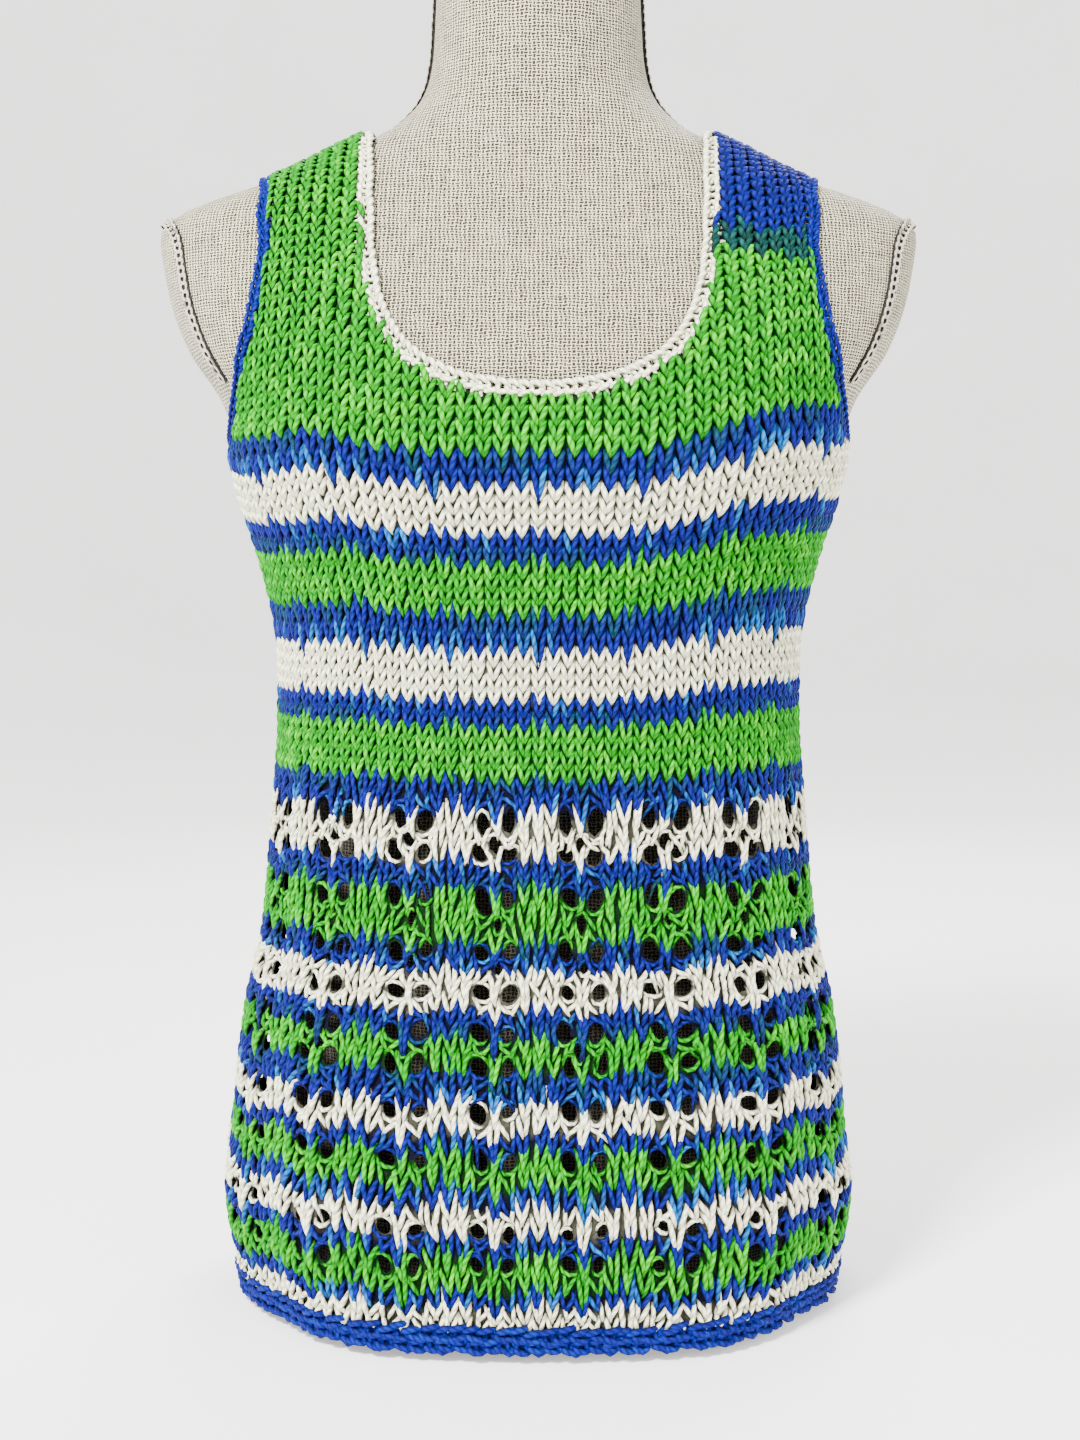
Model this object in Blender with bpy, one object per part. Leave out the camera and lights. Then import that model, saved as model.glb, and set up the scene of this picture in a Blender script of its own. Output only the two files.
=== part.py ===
"""A hand-knit camisole worn by a limbless, linen-covered dress form.

The form is a smooth loft of level sections that stands on its own flat bottom.
The camisole is a front and a back panel, both hollow walls that follow one
shared cloth surface, with crocheted edgings round the neck, armholes and hem.
The lower part of each panel is openwork, and its larger gaps are cut through.

Metres, +Z up. The front faces -Y, and "left" is -X, as seen from the front.
The origin is on the floor, under the middle of the form.
"""
import math

import bmesh
import bpy
import numpy as np

for old in list(bpy.data.objects):
    bpy.data.objects.remove(old, do_unlink=True)

# The cloth wall, and the clearances that keep neighbours apart
WALL = 0.0032
SEAM = 0.0003
EDGE_GAP = 0.0007
REST = 0.0011

# The garment's main levels
HEM_BOTTOM = 0.0060
HEM_TOP = 0.0166
LACE_TOP = 0.2660
BUST = 0.4370
SHOULDER_CORNER = 0.5465
NECK_BASE = 0.6200

# The form's level sections: half width, depth to the front and back, squareness
FORM_COLUMNS = ("height", "half_width", "front", "back", "power")
FORM_TABLE = (
    (0.0000, 0.1280, 0.0920, 0.1000, 2.30),
    (0.0500, 0.1370, 0.0980, 0.1060, 2.30),
    (0.1000, 0.1410, 0.1000, 0.1100, 2.30),
    (0.1500, 0.1375, 0.0980, 0.1060, 2.25),
    (0.1900, 0.1310, 0.0930, 0.0990, 2.20),
    (0.2400, 0.1265, 0.0870, 0.0880, 2.20),
    (0.2900, 0.1240, 0.0840, 0.0810, 2.20),
    (0.3350, 0.1270, 0.0880, 0.0840, 2.20),
    (0.3790, 0.1375, 0.0990, 0.0910, 2.25),
    (0.4105, 0.1490, 0.1130, 0.0980, 2.35),
    (0.4370, 0.1565, 0.1230, 0.1030, 2.50),
    (0.4610, 0.1654, 0.1200, 0.1070, 2.65),
    (0.4850, 0.1810, 0.1110, 0.1095, 2.90),
    (0.5085, 0.1905, 0.1000, 0.1095, 3.00),
    (0.5325, 0.1960, 0.0870, 0.1050, 2.95),
    (0.5465, 0.1980, 0.0800, 0.1000, 2.80),
    (0.5520, 0.1955, 0.0775, 0.0975, 2.70),
    (0.5575, 0.1880, 0.0750, 0.0945, 2.60),
    (0.5655, 0.1700, 0.0715, 0.0900, 2.45),
    (0.5764, 0.1373, 0.0670, 0.0835, 2.30),
    (0.5885, 0.1100, 0.0630, 0.0760, 2.20),
    (0.5965, 0.0920, 0.0610, 0.0715, 2.15),
    (0.6040, 0.0780, 0.0590, 0.0675, 2.10),
    (0.6120, 0.0686, 0.0580, 0.0645, 2.05),
    (0.6200, 0.0623, 0.0570, 0.0620, 2.00),
    (0.6300, 0.0580, 0.0560, 0.0595, 2.00),
    (0.6450, 0.0555, 0.0545, 0.0570, 2.00),
    (0.7000, 0.0530, 0.0520, 0.0540, 2.00),
)

# How far the cloth hangs off the form, at its sides, front and back
ROOM_COLUMNS = ("height", "side", "front", "back")
ROOM_TABLE = (
    (0.0000, 0.0200, 0.0290, 0.0210),
    (0.0500, 0.0210, 0.0250, 0.0170),
    (0.0925, 0.0130, 0.0220, 0.0110),
    (0.1450, 0.0110, 0.0200, 0.0100),
    (0.1900, 0.0090, 0.0220, 0.0110),
    (0.2400, 0.0095, 0.0240, 0.0160),
    (0.2900, 0.0085, 0.0250, 0.0190),
    (0.3350, 0.0060, 0.0220, 0.0150),
    (0.3790, 0.0045, 0.0150, 0.0090),
    (0.4105, 0.0030, 0.0080, 0.0050),
    (0.4370, 0.0015, 0.0015, 0.0020),
    (0.4600, 0.0000, 0.0000, 0.0000),
    (0.7000, 0.0000, 0.0000, 0.0000),
)

# The largest folds: a soft swell or trough at an angle from +X, at a height
FOLD_COLUMNS = ("angle", "height", "spread", "rise", "depth")
FOLD_TABLE = (
    (19.0, 0.105, 12.0, 0.060, 0.0110),
    (163.0, 0.070, 11.0, 0.034, 0.0110),
    (-33.0, 0.020, 12.0, 0.110, -0.0040),
    (-62.0, 0.020, 13.0, 0.130, 0.0035),
    (-120.0, 0.030, 13.0, 0.120, 0.0030),
    (-146.0, 0.020, 12.0, 0.120, -0.0045),
    (60.0, 0.020, 14.0, 0.140, 0.0040),
    (118.0, 0.030, 15.0, 0.120, 0.0040),
)

# Stitches and openwork: a repeat is a three-stitch rib, a gap, a stitch, a gap
REPEATS_PER_PANEL = 9
STITCHES_PER_REPEAT = 6
PANEL_STITCHES = REPEATS_PER_PANEL * STITCHES_PER_REPEAT
RIB_HALF = 1.5
GAP_STITCHES = 1.0
# The outer ribs bend round the side, so they are made in two halves
SPLIT_RIBS = (-4, 4)
GAP_HEIGHTS = (0.0780, 0.1180, 0.1385, 0.1570, 0.1755, 0.1955, 0.2160, 0.2390)
GAP_TALL = 0.0080
# How much closer the front stitches crowd together, by height
CROWD_HEIGHTS = (0.000, 0.120, 0.235, 0.300, 0.437)
CROWD_SHARES = (0.20, 0.16, 0.10, 0.04, 0.00)

# Rows of wall above the lace, as heights, and above the bust, as shares
BODICE_HEIGHTS = (0.2980, 0.3330, 0.3680, 0.4030, 0.4370)
SHOULDER_SHARES = (0.13, 0.26, 0.38, 0.48, 0.56, 0.63, 0.70, 0.77, 0.85, 0.93, 1.0)

# The neckline and one armhole on the cloth: distance from the middle, and height
NECK_FRONT = (
    (0.0912, 0.5905),
    (0.0905, 0.5840),
    (0.0896, 0.5750),
    (0.0890, 0.5640),
    (0.0885, 0.5480),
    (0.0872, 0.5270),
    (0.0832, 0.5050),
    (0.0757, 0.4860),
    (0.0625, 0.4700),
    (0.0430, 0.4592),
    (0.0215, 0.4540),
)
NECK_TOP, NECK_FRONT_LOW, NECK_BACK_LOW = 0.5965, 0.4523, 0.5600
NECK_BACK = (
    (0.0908, 0.5900),
    (0.0880, 0.5805),
    (0.0760, 0.5690),
    (0.0480, 0.5620),
)
ARMHOLE = (
    (0.1565, 0.4330),
    (0.1527, 0.4395),
    (0.1480, 0.4530),
    (0.1430, 0.4680),
    (0.1372, 0.4890),
    (0.1330, 0.5140),
    (0.1318, 0.5380),
    (0.1330, 0.5560),
    (0.1348, 0.5670),
    (0.1364, 0.5740),
)
ARMHOLE_LOW, ARMHOLE_TOP = 0.4320, 0.5764

# The cutters: where each double cone's inner and outer tips are, and the point
# that an edging turns toward, away from its knitting
NECK_TIPS = ((0.0, 0.0, 0.30), (0.0, 0.0, 0.95))
ARM_TIPS = ((0.05, 0.0, 0.50), (0.45, 0.0, 0.50))
NECK_MIDDLE = (0.0, 0.0, 0.66)
ARM_MIDDLE = (0.25, 0.0, 0.50)
CUT_BELOW, CUT_ABOVE = 0.0020, 0.0080

# Edgings and braid: half width along the surface, half thickness off it
NECK_EDGING = (0.0032, 0.0021)
ARM_EDGING = (0.0025, 0.0021)
HEM_EDGING = ((HEM_TOP - HEM_BOTTOM) / 2, 0.0021)
BRAID = (0.0024, 0.0012)
SHOULDER_BRAID_SPAN = (0.5741, 0.5590)
NECK_BRAID_SPAN = (0.6045, 0.6960)
ARM_BRAID = (
    (26.0, 0.4660),
    (28.0, 0.4850),
    (28.5, 0.5085),
    (28.0, 0.5325),
    (25.0, 0.5445),
    (15.0, 0.5515),
)
ARM_BRAID_TOP = 0.5535

# How finely the form, the curved edges and the braids are sampled
FORM_SIDES = 32
LONGEST_RING_STEP = 0.0500
EDGE_SAMPLES = 2
HEM_POINTS_PER_PANEL = 30
SHOULDER_BRAID_POINTS = 5
NECK_BRAID_POINTS = 8
BAR_SIDES = 6

DEGREE = math.pi / 180
SHARP_ANGLE = 40 * DEGREE


def table_column(columns, table, name):
    """One named column of a table, as an array."""
    return np.array([row[columns.index(name)] for row in table], dtype=float)


def smooth_through(xs, ys, x):
    """A smooth curve through the points that never overshoots them."""
    step = np.diff(xs)
    slope = np.diff(ys) / step
    grade = np.concatenate([slope[:1], np.zeros(len(slope) - 1), slope[-1:]])
    product = slope[:-1] * slope[1:]
    total = slope[:-1] + slope[1:]
    rising = product > 0
    grade[1:-1][rising] = 2 * product[rising] / total[rising]
    x = np.clip(x, xs[0], xs[-1])
    low = np.clip(np.searchsorted(xs, x, side="right") - 1, 0, len(step) - 1)
    share = (x - xs[low]) / step[low]
    rest = 1 - share
    return (ys[low] * rest * rest * (1 + 2 * share)
            + ys[low + 1] * share * share * (1 + 2 * rest)
            + step[low] * share * rest * (grade[low] * rest - grade[low + 1] * share))


def read_table(columns, table, height, names):
    """The named columns of a table at any heights."""
    heights = table_column(columns, table, "height")
    return [smooth_through(heights, table_column(columns, table, name), height) for name in names]


def form_sizes(height):
    """Half width, front depth, back depth and power of the form's section."""
    return read_table(FORM_COLUMNS, FORM_TABLE, height, FORM_COLUMNS[1:])


def cloth_sizes(height):
    """The same four sizes for the cloth that hangs round the form."""
    half_width, front, back, power = form_sizes(height)
    side, front_room, back_room = read_table(ROOM_COLUMNS, ROOM_TABLE, height, ROOM_COLUMNS[1:])
    return half_width + side, front + front_room, back + back_room, power


def on_section(sizes, angle, height):
    """Points of a level section at an angle that starts at +X and turns to +Y."""
    half_width, front, back, power = sizes
    cosine, sine = np.cos(angle), np.sin(angle)
    depth = np.where(sine < 0, front, back)
    x = half_width * np.sign(cosine) * np.abs(cosine) ** (2 / power)
    y = depth * np.sign(sine) * np.abs(sine) ** (2 / power)
    return np.stack([x, y, height + 0 * x], axis=-1)


def surface_frame(sizes_at, angle, height):
    """Points of a surface, and its outward normals, at angles and heights."""
    angle, height = np.broadcast_arrays(np.asarray(angle, float), np.asarray(height, float))
    turn, rise = 0.02, 0.001

    def spot(a, h):
        return on_section(sizes_at(h), a, h)

    around = spot(angle + turn, height) - spot(angle - turn, height)
    up = spot(angle, height + rise) - spot(angle, height - rise)
    normal = np.cross(around, up)
    normal /= np.linalg.norm(normal, axis=-1, keepdims=True)
    return spot(angle, height), normal


def fold_lift(angle, height):
    """How far the folds carry the cloth out, or in where negative."""
    angle, height = np.degrees(angle)[..., None], np.asarray(height)[..., None]
    columns = [table_column(FOLD_COLUMNS, FOLD_TABLE, name) for name in FOLD_COLUMNS]
    fold_angle, fold_height, spread, rise, depth = columns
    away = (angle - fold_angle + 180) % 360 - 180
    swell = np.exp(-(away / spread) ** 2 - ((height - fold_height) / rise) ** 2)
    return np.sum(depth * swell, axis=-1)


def cloth_frame(angle, height):
    """The cloth's inner surface, with its folds, and its normals."""
    base, normal = surface_frame(cloth_sizes, angle, height)
    return base + normal * (REST + fold_lift(angle, height))[..., None], normal


def stitch_edges():
    """Column edges of a panel in stitches from its middle, and which are gaps."""
    half = PANEL_STITCHES / 2
    edges = {-half, half}
    gaps = set()
    for number in range(REPEATS_PER_PANEL):
        rib = number - REPEATS_PER_PANEL // 2
        middle = rib * STITCHES_PER_REPEAT
        if rib in SPLIT_RIBS:
            edges.add(float(middle))
        for side in (-1, 1):
            near = middle + side * RIB_HALF
            far = near + side * GAP_STITCHES
            edges.update((near, far))
            gaps.add(min(near, far))
    edges = sorted(edges)
    return np.array(edges), [edge in gaps for edge in edges[:-1]]


def angles_along(shares, height, side):
    """Section angles of the stitch columns that lie at shares of half a panel."""
    dense = np.linspace(math.pi, 0, 361) * side
    points = on_section(cloth_sizes(np.full_like(dense, height)), dense, height)
    steps = np.linalg.norm(np.diff(points, axis=0), axis=1)
    length = np.concatenate([[0], np.cumsum(steps)])
    crowd = np.interp(height, CROWD_HEIGHTS, CROWD_SHARES)
    spread = shares - crowd * np.sin(math.pi * shares) / math.pi
    return np.interp((spread + 1) / 2 * length[-1], length, dense)


def shoulder_angle(x, height, side):
    """Section angle where a column that runs straight up crosses a height."""
    half_width, _, _, power = cloth_sizes(height)
    ratio = np.clip(np.abs(x) / half_width, 0, 1) ** (power / 2)
    return side * np.arccos(np.sign(x) * ratio)


def shoulder_heights(x, side, shares):
    """Heights at shares of the way from the bust over to the shoulder's ridge."""
    ridge_search = np.linspace(SHOULDER_CORNER, NECK_BASE, 400)
    half_widths = cloth_sizes(ridge_search)[0]
    top = np.interp(-abs(x), -half_widths, ridge_search)
    dense = BUST + (top - BUST) * (1 - (1 - np.linspace(0, 1, 300)) ** 2)
    points = on_section(cloth_sizes(dense), shoulder_angle(x, dense, side), dense)
    steps = np.linalg.norm(np.diff(points, axis=0), axis=1)
    length = np.concatenate([[0], np.cumsum(steps)])
    return np.interp(np.array(shares) * length[-1], length, dense)


def panel_lattice(side):
    """Angle and height of every corner of a panel, and which cells are gaps."""
    edges, gap_columns = stitch_edges()
    shares = edges / (PANEL_STITCHES / 2)
    heights = [HEM_TOP + SEAM]
    gap_rows = []
    for middle in GAP_HEIGHTS:
        heights += [middle - GAP_TALL / 2, middle + GAP_TALL / 2]
        gap_rows += [False, True]
    heights.append(LACE_TOP)
    heights += BODICE_HEIGHTS
    gap_rows += [False] * (len(heights) - 1 - len(gap_rows) + len(SHOULDER_SHARES))
    angle_rows = [angles_along(shares, height, side) for height in heights]
    height_rows = [np.full(len(shares), height) for height in heights]
    bust_points = on_section(cloth_sizes(np.full(len(shares), BUST)), angle_rows[-1], BUST)
    across = bust_points[:, 0]
    upper = np.array([shoulder_heights(x, side, SHOULDER_SHARES) for x in across]).T
    for row in upper:
        angle_rows.append(shoulder_angle(across, row, side))
        height_rows.append(row)
    gaps = np.outer(gap_rows, gap_columns)
    return np.array(angle_rows), np.array(height_rows), gaps


def new_object(name, mesh_points, faces, colour, roughness):
    """A named object of one closed mesh with its own plain material."""
    builder = bmesh.new()
    corners = [builder.verts.new(point) for point in mesh_points]
    for face in faces:
        builder.faces.new([corners[index] for index in face])
    bmesh.ops.recalc_face_normals(builder, faces=builder.faces)
    bmesh.ops.triangulate(builder, faces=builder.faces)
    mesh = bpy.data.meshes.new(name)
    builder.to_mesh(mesh)
    builder.free()
    mesh.shade_smooth()
    mesh.set_sharp_from_angle(angle=SHARP_ANGLE)
    piece = bpy.data.objects.new(name, mesh)
    bpy.context.scene.collection.objects.link(piece)
    material = bpy.data.materials.new(name)
    material.use_nodes = True
    shader = material.node_tree.nodes["Principled BSDF"]
    shader.inputs["Base Color"].default_value = (*colour, 1.0)
    shader.inputs["Roughness"].default_value = roughness
    mesh.materials.append(material)
    return piece


def wall_mesh(inner, outer, gaps):
    """Points and faces of a wall between two lattices, open at its gap cells."""
    rows, columns = inner.shape[:2]
    half = rows * columns
    solid = ~gaps

    def index(row, column, layer):
        return layer * half + row * columns + column

    def filled(row, column):
        return 0 <= row < rows - 1 and 0 <= column < columns - 1 and solid[row, column]

    faces = []
    for row in range(rows - 1):
        for column in range(columns - 1):
            if not solid[row, column]:
                continue
            ring = ((row, column), (row, column + 1), (row + 1, column + 1), (row + 1, column))
            for layer in (0, 1):
                faces.append([index(*corner, layer) for corner in ring])
            neighbours = ((row - 1, column), (row, column + 1), (row + 1, column), (row, column - 1))
            for number, neighbour in enumerate(neighbours):
                if not filled(*neighbour):
                    a, b = ring[number], ring[(number + 1) % 4]
                    faces.append([index(*a, 0), index(*b, 0), index(*b, 1), index(*a, 1)])
    points = np.concatenate([inner.reshape(-1, 3), outer.reshape(-1, 3)])
    return points.tolist(), faces


def closed_spline(rows, samples_per_span):
    """A smooth closed curve through rows of angle and height."""
    rows = np.array(rows, dtype=float)
    turns = np.round((rows[0, 0] - rows[-1, 0]) / 360) * 360
    count = len(rows)
    shift = np.array([turns, 0.0])
    found = []
    for number in range(count):
        corners = []
        for offset in (-1, 0, 1, 2):
            lap, place = divmod(number + offset, count)
            corners.append(rows[place] - lap * shift)
        a, b, c, d = corners
        for t in np.arange(samples_per_span) / samples_per_span:
            found.append(0.5 * (2 * b + (c - a) * t + (2 * a - 5 * b + 4 * c - d) * t ** 2
                                + (3 * b - a - 3 * c + d) * t ** 3))
    return np.array(found)


def section_rows(edge):
    """An edge's rows as degrees round the section from the side, and height."""
    rows = []
    for x, height in edge:
        half_width, _, _, power = cloth_sizes(np.array(height))
        rows.append((math.degrees(math.acos((x / half_width) ** (power / 2))), height))
    return rows


def neck_curve(samples_per_span):
    """The neckline as angle and height, once round from the right shoulder."""
    front, back = section_rows(NECK_FRONT), section_rows(NECK_BACK)
    rows = [(0.0, NECK_TOP)]
    rows += [(-angle, height) for angle, height in front]
    rows += [(-90.0, NECK_FRONT_LOW)]
    rows += [(-180.0 + angle, height) for angle, height in reversed(front)]
    rows += [(-180.0, NECK_TOP)]
    rows += [(-180.0 - angle, height) for angle, height in back]
    rows += [(-270.0, NECK_BACK_LOW)]
    rows += [(-360.0 + angle, height) for angle, height in reversed(back)]
    return closed_spline(rows, samples_per_span)


def armhole_curve(samples_per_span):
    """The right armhole as angle and height, once round from the underarm."""
    side = section_rows(ARMHOLE)
    front = [(-angle, height) for angle, height in side]
    back = [(angle, height) for angle, height in reversed(side)]
    return closed_spline([(0.0, ARMHOLE_LOW)] + front + [(0.0, ARMHOLE_TOP)] + back, samples_per_span)


def mirrored(points):
    """The same points on the other side of the middle."""
    return points * np.array([-1.0, 1.0, 1.0])


def edge_path(curve):
    """Points, normals and closed-curve tangents of an edge on the cloth."""
    points, normals = surface_frame(cloth_sizes, curve[:, 0] * DEGREE, curve[:, 1])
    tangents = np.roll(points, -1, axis=0) - np.roll(points, 1, axis=0)
    tangents /= np.linalg.norm(tangents, axis=1, keepdims=True)
    return points, normals, tangents


def cutter(name, curve, tips, flip):
    """A closed double cone whose waist cuts the cloth square along a curve."""
    points, normals, _ = edge_path(curve)
    low, high = points - normals * CUT_BELOW, points + normals * CUT_ABOVE
    corners = np.concatenate([low, high, np.array(tips)])
    if flip:
        corners = mirrored(corners)
    count = len(points)
    faces = []
    for number in range(count):
        following = (number + 1) % count
        faces.append((number, following, count + following, count + number))
        faces.append((following, number, 2 * count))
        faces.append((count + number, count + following, 2 * count + 1))
    shape = new_object(name, corners.tolist(), faces, (0.5, 0.5, 0.5), 1.0)
    shape.hide_render = True
    shape.display_type = "WIRE"
    return shape


def make_panel(name, side, cutters, colour):
    """One knitted panel: a wall on the lattice, cut at the neck and armholes."""
    angles, heights, gaps = panel_lattice(side)
    inner, normals = cloth_frame(angles, heights)
    outer = inner + normals * WALL
    for layer in (inner, outer):
        layer[0, :, 2] = HEM_TOP + SEAM
        layer[:, 0, 1] = side * SEAM / 2
        layer[:, -1, 1] = side * SEAM / 2
        middle = side * layer[-1, :, 1] < SEAM / 2
        layer[-1, middle, 1] = side * SEAM / 2
    points, faces = wall_mesh(inner, outer, gaps)
    panel = new_object(name, points, faces, colour, 0.85)
    for shape in cutters:
        cut = panel.modifiers.new(shape.name, "BOOLEAN")
        cut.operation = "DIFFERENCE"
        cut.solver = "EXACT"
        cut.object = shape
    return panel


def sweep(name, centres, across, off, half_sizes, closed, colour):
    """A rounded bar along a path: an oval between two directions at each point."""
    half_width, half_thick = half_sizes
    count = len(centres)
    points = []
    for number in range(count):
        for corner in range(BAR_SIDES):
            turn = 2 * math.pi * corner / BAR_SIDES
            points.append(centres[number] + across[number] * half_width * math.cos(turn)
                          + off[number] * half_thick * math.sin(turn))
    faces = []
    for number in range(count if closed else count - 1):
        here, there = number * BAR_SIDES, (number + 1) % count * BAR_SIDES
        for corner in range(BAR_SIDES):
            following = (corner + 1) % BAR_SIDES
            faces.append((here + corner, here + following, there + following, there + corner))
    if not closed:
        faces.append(tuple(range(BAR_SIDES)))
        faces.append(tuple(range((count - 1) * BAR_SIDES, count * BAR_SIDES)))
    return new_object(name, [list(point) for point in points], faces, colour, 0.8)


def make_edging(name, curve, half_sizes, toward, flip, colour):
    """A crocheted edge that starts at the cut knitting and lies on the form."""
    points, normals, tangents = edge_path(curve)
    across = np.cross(tangents, normals)
    across *= np.sign(np.sum(across * (np.array(toward) - points), axis=1, keepdims=True))
    centres = points + across * (half_sizes[0] + EDGE_GAP) + normals * (half_sizes[1] + REST)
    if flip:
        centres, across, normals = mirrored(centres), mirrored(across), mirrored(normals)
    return sweep(name, centres, across, normals, half_sizes, True, colour)


def make_hem(colour):
    """The crocheted border that hangs under both panels."""
    angles = []
    level = (HEM_TOP + HEM_BOTTOM) / 2
    for side in (-1, 1):
        shares = np.linspace(-1, 1, HEM_POINTS_PER_PANEL + 1)[:-1] * -side
        angles.append(angles_along(shares, level, side))
    angles = np.concatenate(angles)
    inner, normals = cloth_frame(angles, np.full(len(angles), level))
    off = normals * np.array([1.0, 1.0, 0.0])
    off /= np.linalg.norm(off, axis=1, keepdims=True)
    centres = inner + off * WALL / 2
    centres[:, 2] = level
    across = np.tile([0.0, 0.0, 1.0], (len(angles), 1))
    return sweep("hem_edging", centres, across, off, HEM_EDGING, True, colour)


def make_braid(name, curve, half_sizes, flip, colour):
    """A flat chain braid laid on the form along angles and heights."""
    points, normals = surface_frame(form_sizes, curve[:, 0] * DEGREE, curve[:, 1])
    tangents = np.gradient(points, axis=0)
    tangents /= np.linalg.norm(tangents, axis=1, keepdims=True)
    across = np.cross(tangents, normals)
    across /= np.linalg.norm(across, axis=1, keepdims=True)
    centres = points + normals * (half_sizes[1] + SEAM * 2)
    if flip:
        centres, across, normals = mirrored(centres), mirrored(across), mirrored(normals)
    return sweep(name, centres, across, normals, half_sizes, False, colour)


def ring_heights(longest):
    """The form's table heights, with any long step split evenly."""
    heights = [FORM_TABLE[0][0]]
    for row in FORM_TABLE[1:]:
        step = row[0] - heights[-1]
        parts = math.ceil(step / longest)
        start = heights[-1]
        heights += [start + step * (part + 1) / parts for part in range(parts)]
    return heights


def make_form(colour):
    """The linen-covered body: lofted sections with a flat bottom and neck top."""
    soft_edge, narrowing = 0.003, 0.97
    angles = np.linspace(0, 2 * math.pi, FORM_SIDES, endpoint=False)
    heights = ring_heights(LONGEST_RING_STEP)
    rings = []
    for height in heights:
        rings.append(on_section(form_sizes(np.full(FORM_SIDES, height)), angles, height))
    foot = rings[0] * np.array([narrowing, narrowing, 1.0])
    rings[0][:, 2] = soft_edge
    cap = rings[-1] * np.array([narrowing, narrowing, 1.0]) + np.array([0, 0, soft_edge])
    rings = [foot] + rings + [cap]
    points = np.concatenate(rings).tolist()
    faces = []
    for level in range(len(rings) - 1):
        for number in range(FORM_SIDES):
            following = (number + 1) % FORM_SIDES
            low, high = level * FORM_SIDES, (level + 1) * FORM_SIDES
            faces.append((low + number, low + following, high + following, high + number))
    last = (len(rings) - 1) * FORM_SIDES
    faces.append(tuple(range(FORM_SIDES)))
    faces.append(tuple(range(last, last + FORM_SIDES)))
    return new_object("form_body", points, faces, colour, 0.9)


def arm_braid_curve():
    """The braid round the front and back edge of the right arm plate."""
    front = [(-angle, height) for angle, height in ARM_BRAID]
    back = [(angle, height) for angle, height in reversed(ARM_BRAID)]
    rows = np.array(front + [(0.0, ARM_BRAID_TOP)] + back)
    place = np.arange(len(rows))
    dense = np.linspace(0, len(rows) - 1, 2 * len(rows) - 1)
    return np.column_stack([np.interp(dense, place, rows[:, 0]), np.interp(dense, place, rows[:, 1])])


def straight_braid_curve(span, count):
    """A braid that runs straight up the form's side, between two heights."""
    return np.column_stack([np.zeros(count), np.linspace(*span, count)])


def main():
    """Build the form, the cutters, the two panels, the edgings and the braids."""
    green, blue = (0.08, 0.52, 0.03), (0.01, 0.06, 0.40)
    ivory, linen, braid_grey = (0.82, 0.80, 0.68), (0.42, 0.39, 0.34), (0.30, 0.27, 0.24)
    neck, arm = neck_curve(EDGE_SAMPLES), armhole_curve(EDGE_SAMPLES)
    cutters = [cutter("neck_cutter", neck, NECK_TIPS, False)]
    for name, flip in (("left", True), ("right", False)):
        cutters.append(cutter("arm_cutter_" + name, arm, ARM_TIPS, flip))
    make_form(linen)
    make_panel("front_panel", -1, cutters, green)
    make_panel("back_panel", 1, cutters, green)
    make_edging("neck_edging", neck, NECK_EDGING, NECK_MIDDLE, False, ivory)
    make_hem(blue)
    shoulder = straight_braid_curve(SHOULDER_BRAID_SPAN, SHOULDER_BRAID_POINTS)
    neck_side = straight_braid_curve(NECK_BRAID_SPAN, NECK_BRAID_POINTS)
    for name, flip in (("left", True), ("right", False)):
        make_edging("armhole_edging_" + name, arm, ARM_EDGING, ARM_MIDDLE, flip, blue)
        make_braid("arm_braid_" + name, arm_braid_curve(), BRAID, flip, braid_grey)
        make_braid("shoulder_braid_" + name, shoulder, BRAID, flip, braid_grey)
        make_braid("neck_braid_" + name, neck_side, BRAID, flip, braid_grey)


main()
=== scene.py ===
# %% [markdown]
# # A hand-knit camisole on a linen dress form
# The real garment is knitted by hand in thick cotton, so its look is its stitches: each one
# is a pair of twisted yarn legs. A photograph-like texture would look flat from the side.
# Here every stitch is modelled as yarn, and the knitting is laid over the same surface
# that the solid part was built from. The first cell loads that part as a fixed frame.

# %% Load the frame
import math

import bpy
import numpy as np
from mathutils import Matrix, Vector


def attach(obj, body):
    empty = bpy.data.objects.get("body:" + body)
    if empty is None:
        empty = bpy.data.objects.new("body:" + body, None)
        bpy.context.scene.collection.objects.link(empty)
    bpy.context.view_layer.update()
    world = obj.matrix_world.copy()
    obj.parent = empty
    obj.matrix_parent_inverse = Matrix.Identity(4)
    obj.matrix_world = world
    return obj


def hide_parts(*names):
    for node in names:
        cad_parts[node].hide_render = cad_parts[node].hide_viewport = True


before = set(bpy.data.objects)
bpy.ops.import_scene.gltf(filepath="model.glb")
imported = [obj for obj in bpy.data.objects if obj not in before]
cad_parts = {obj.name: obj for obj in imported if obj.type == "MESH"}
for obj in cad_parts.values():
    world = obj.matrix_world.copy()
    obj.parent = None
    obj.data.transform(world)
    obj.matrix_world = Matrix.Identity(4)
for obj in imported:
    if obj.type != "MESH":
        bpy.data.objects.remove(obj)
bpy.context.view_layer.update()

MM = 0.001
DEGREE = math.pi / 180

# %% [markdown]
# ## The camera
# The picture was taken from the front, a little over a metre away, with a lens near 50 mm.
# The horizon lies above the middle of the picture while upright lines stay upright, so the
# lens is shifted down instead of the camera being tilted.

# %% Place the camera
CAMERA_DISTANCE = 1.07
CAMERA_HEIGHT = 0.3575
PHOTO_SIZE = (1080, 1440)
FOCAL_PIXELS = 2019
HORIZON_PIXELS = (538.5, 600)

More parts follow.
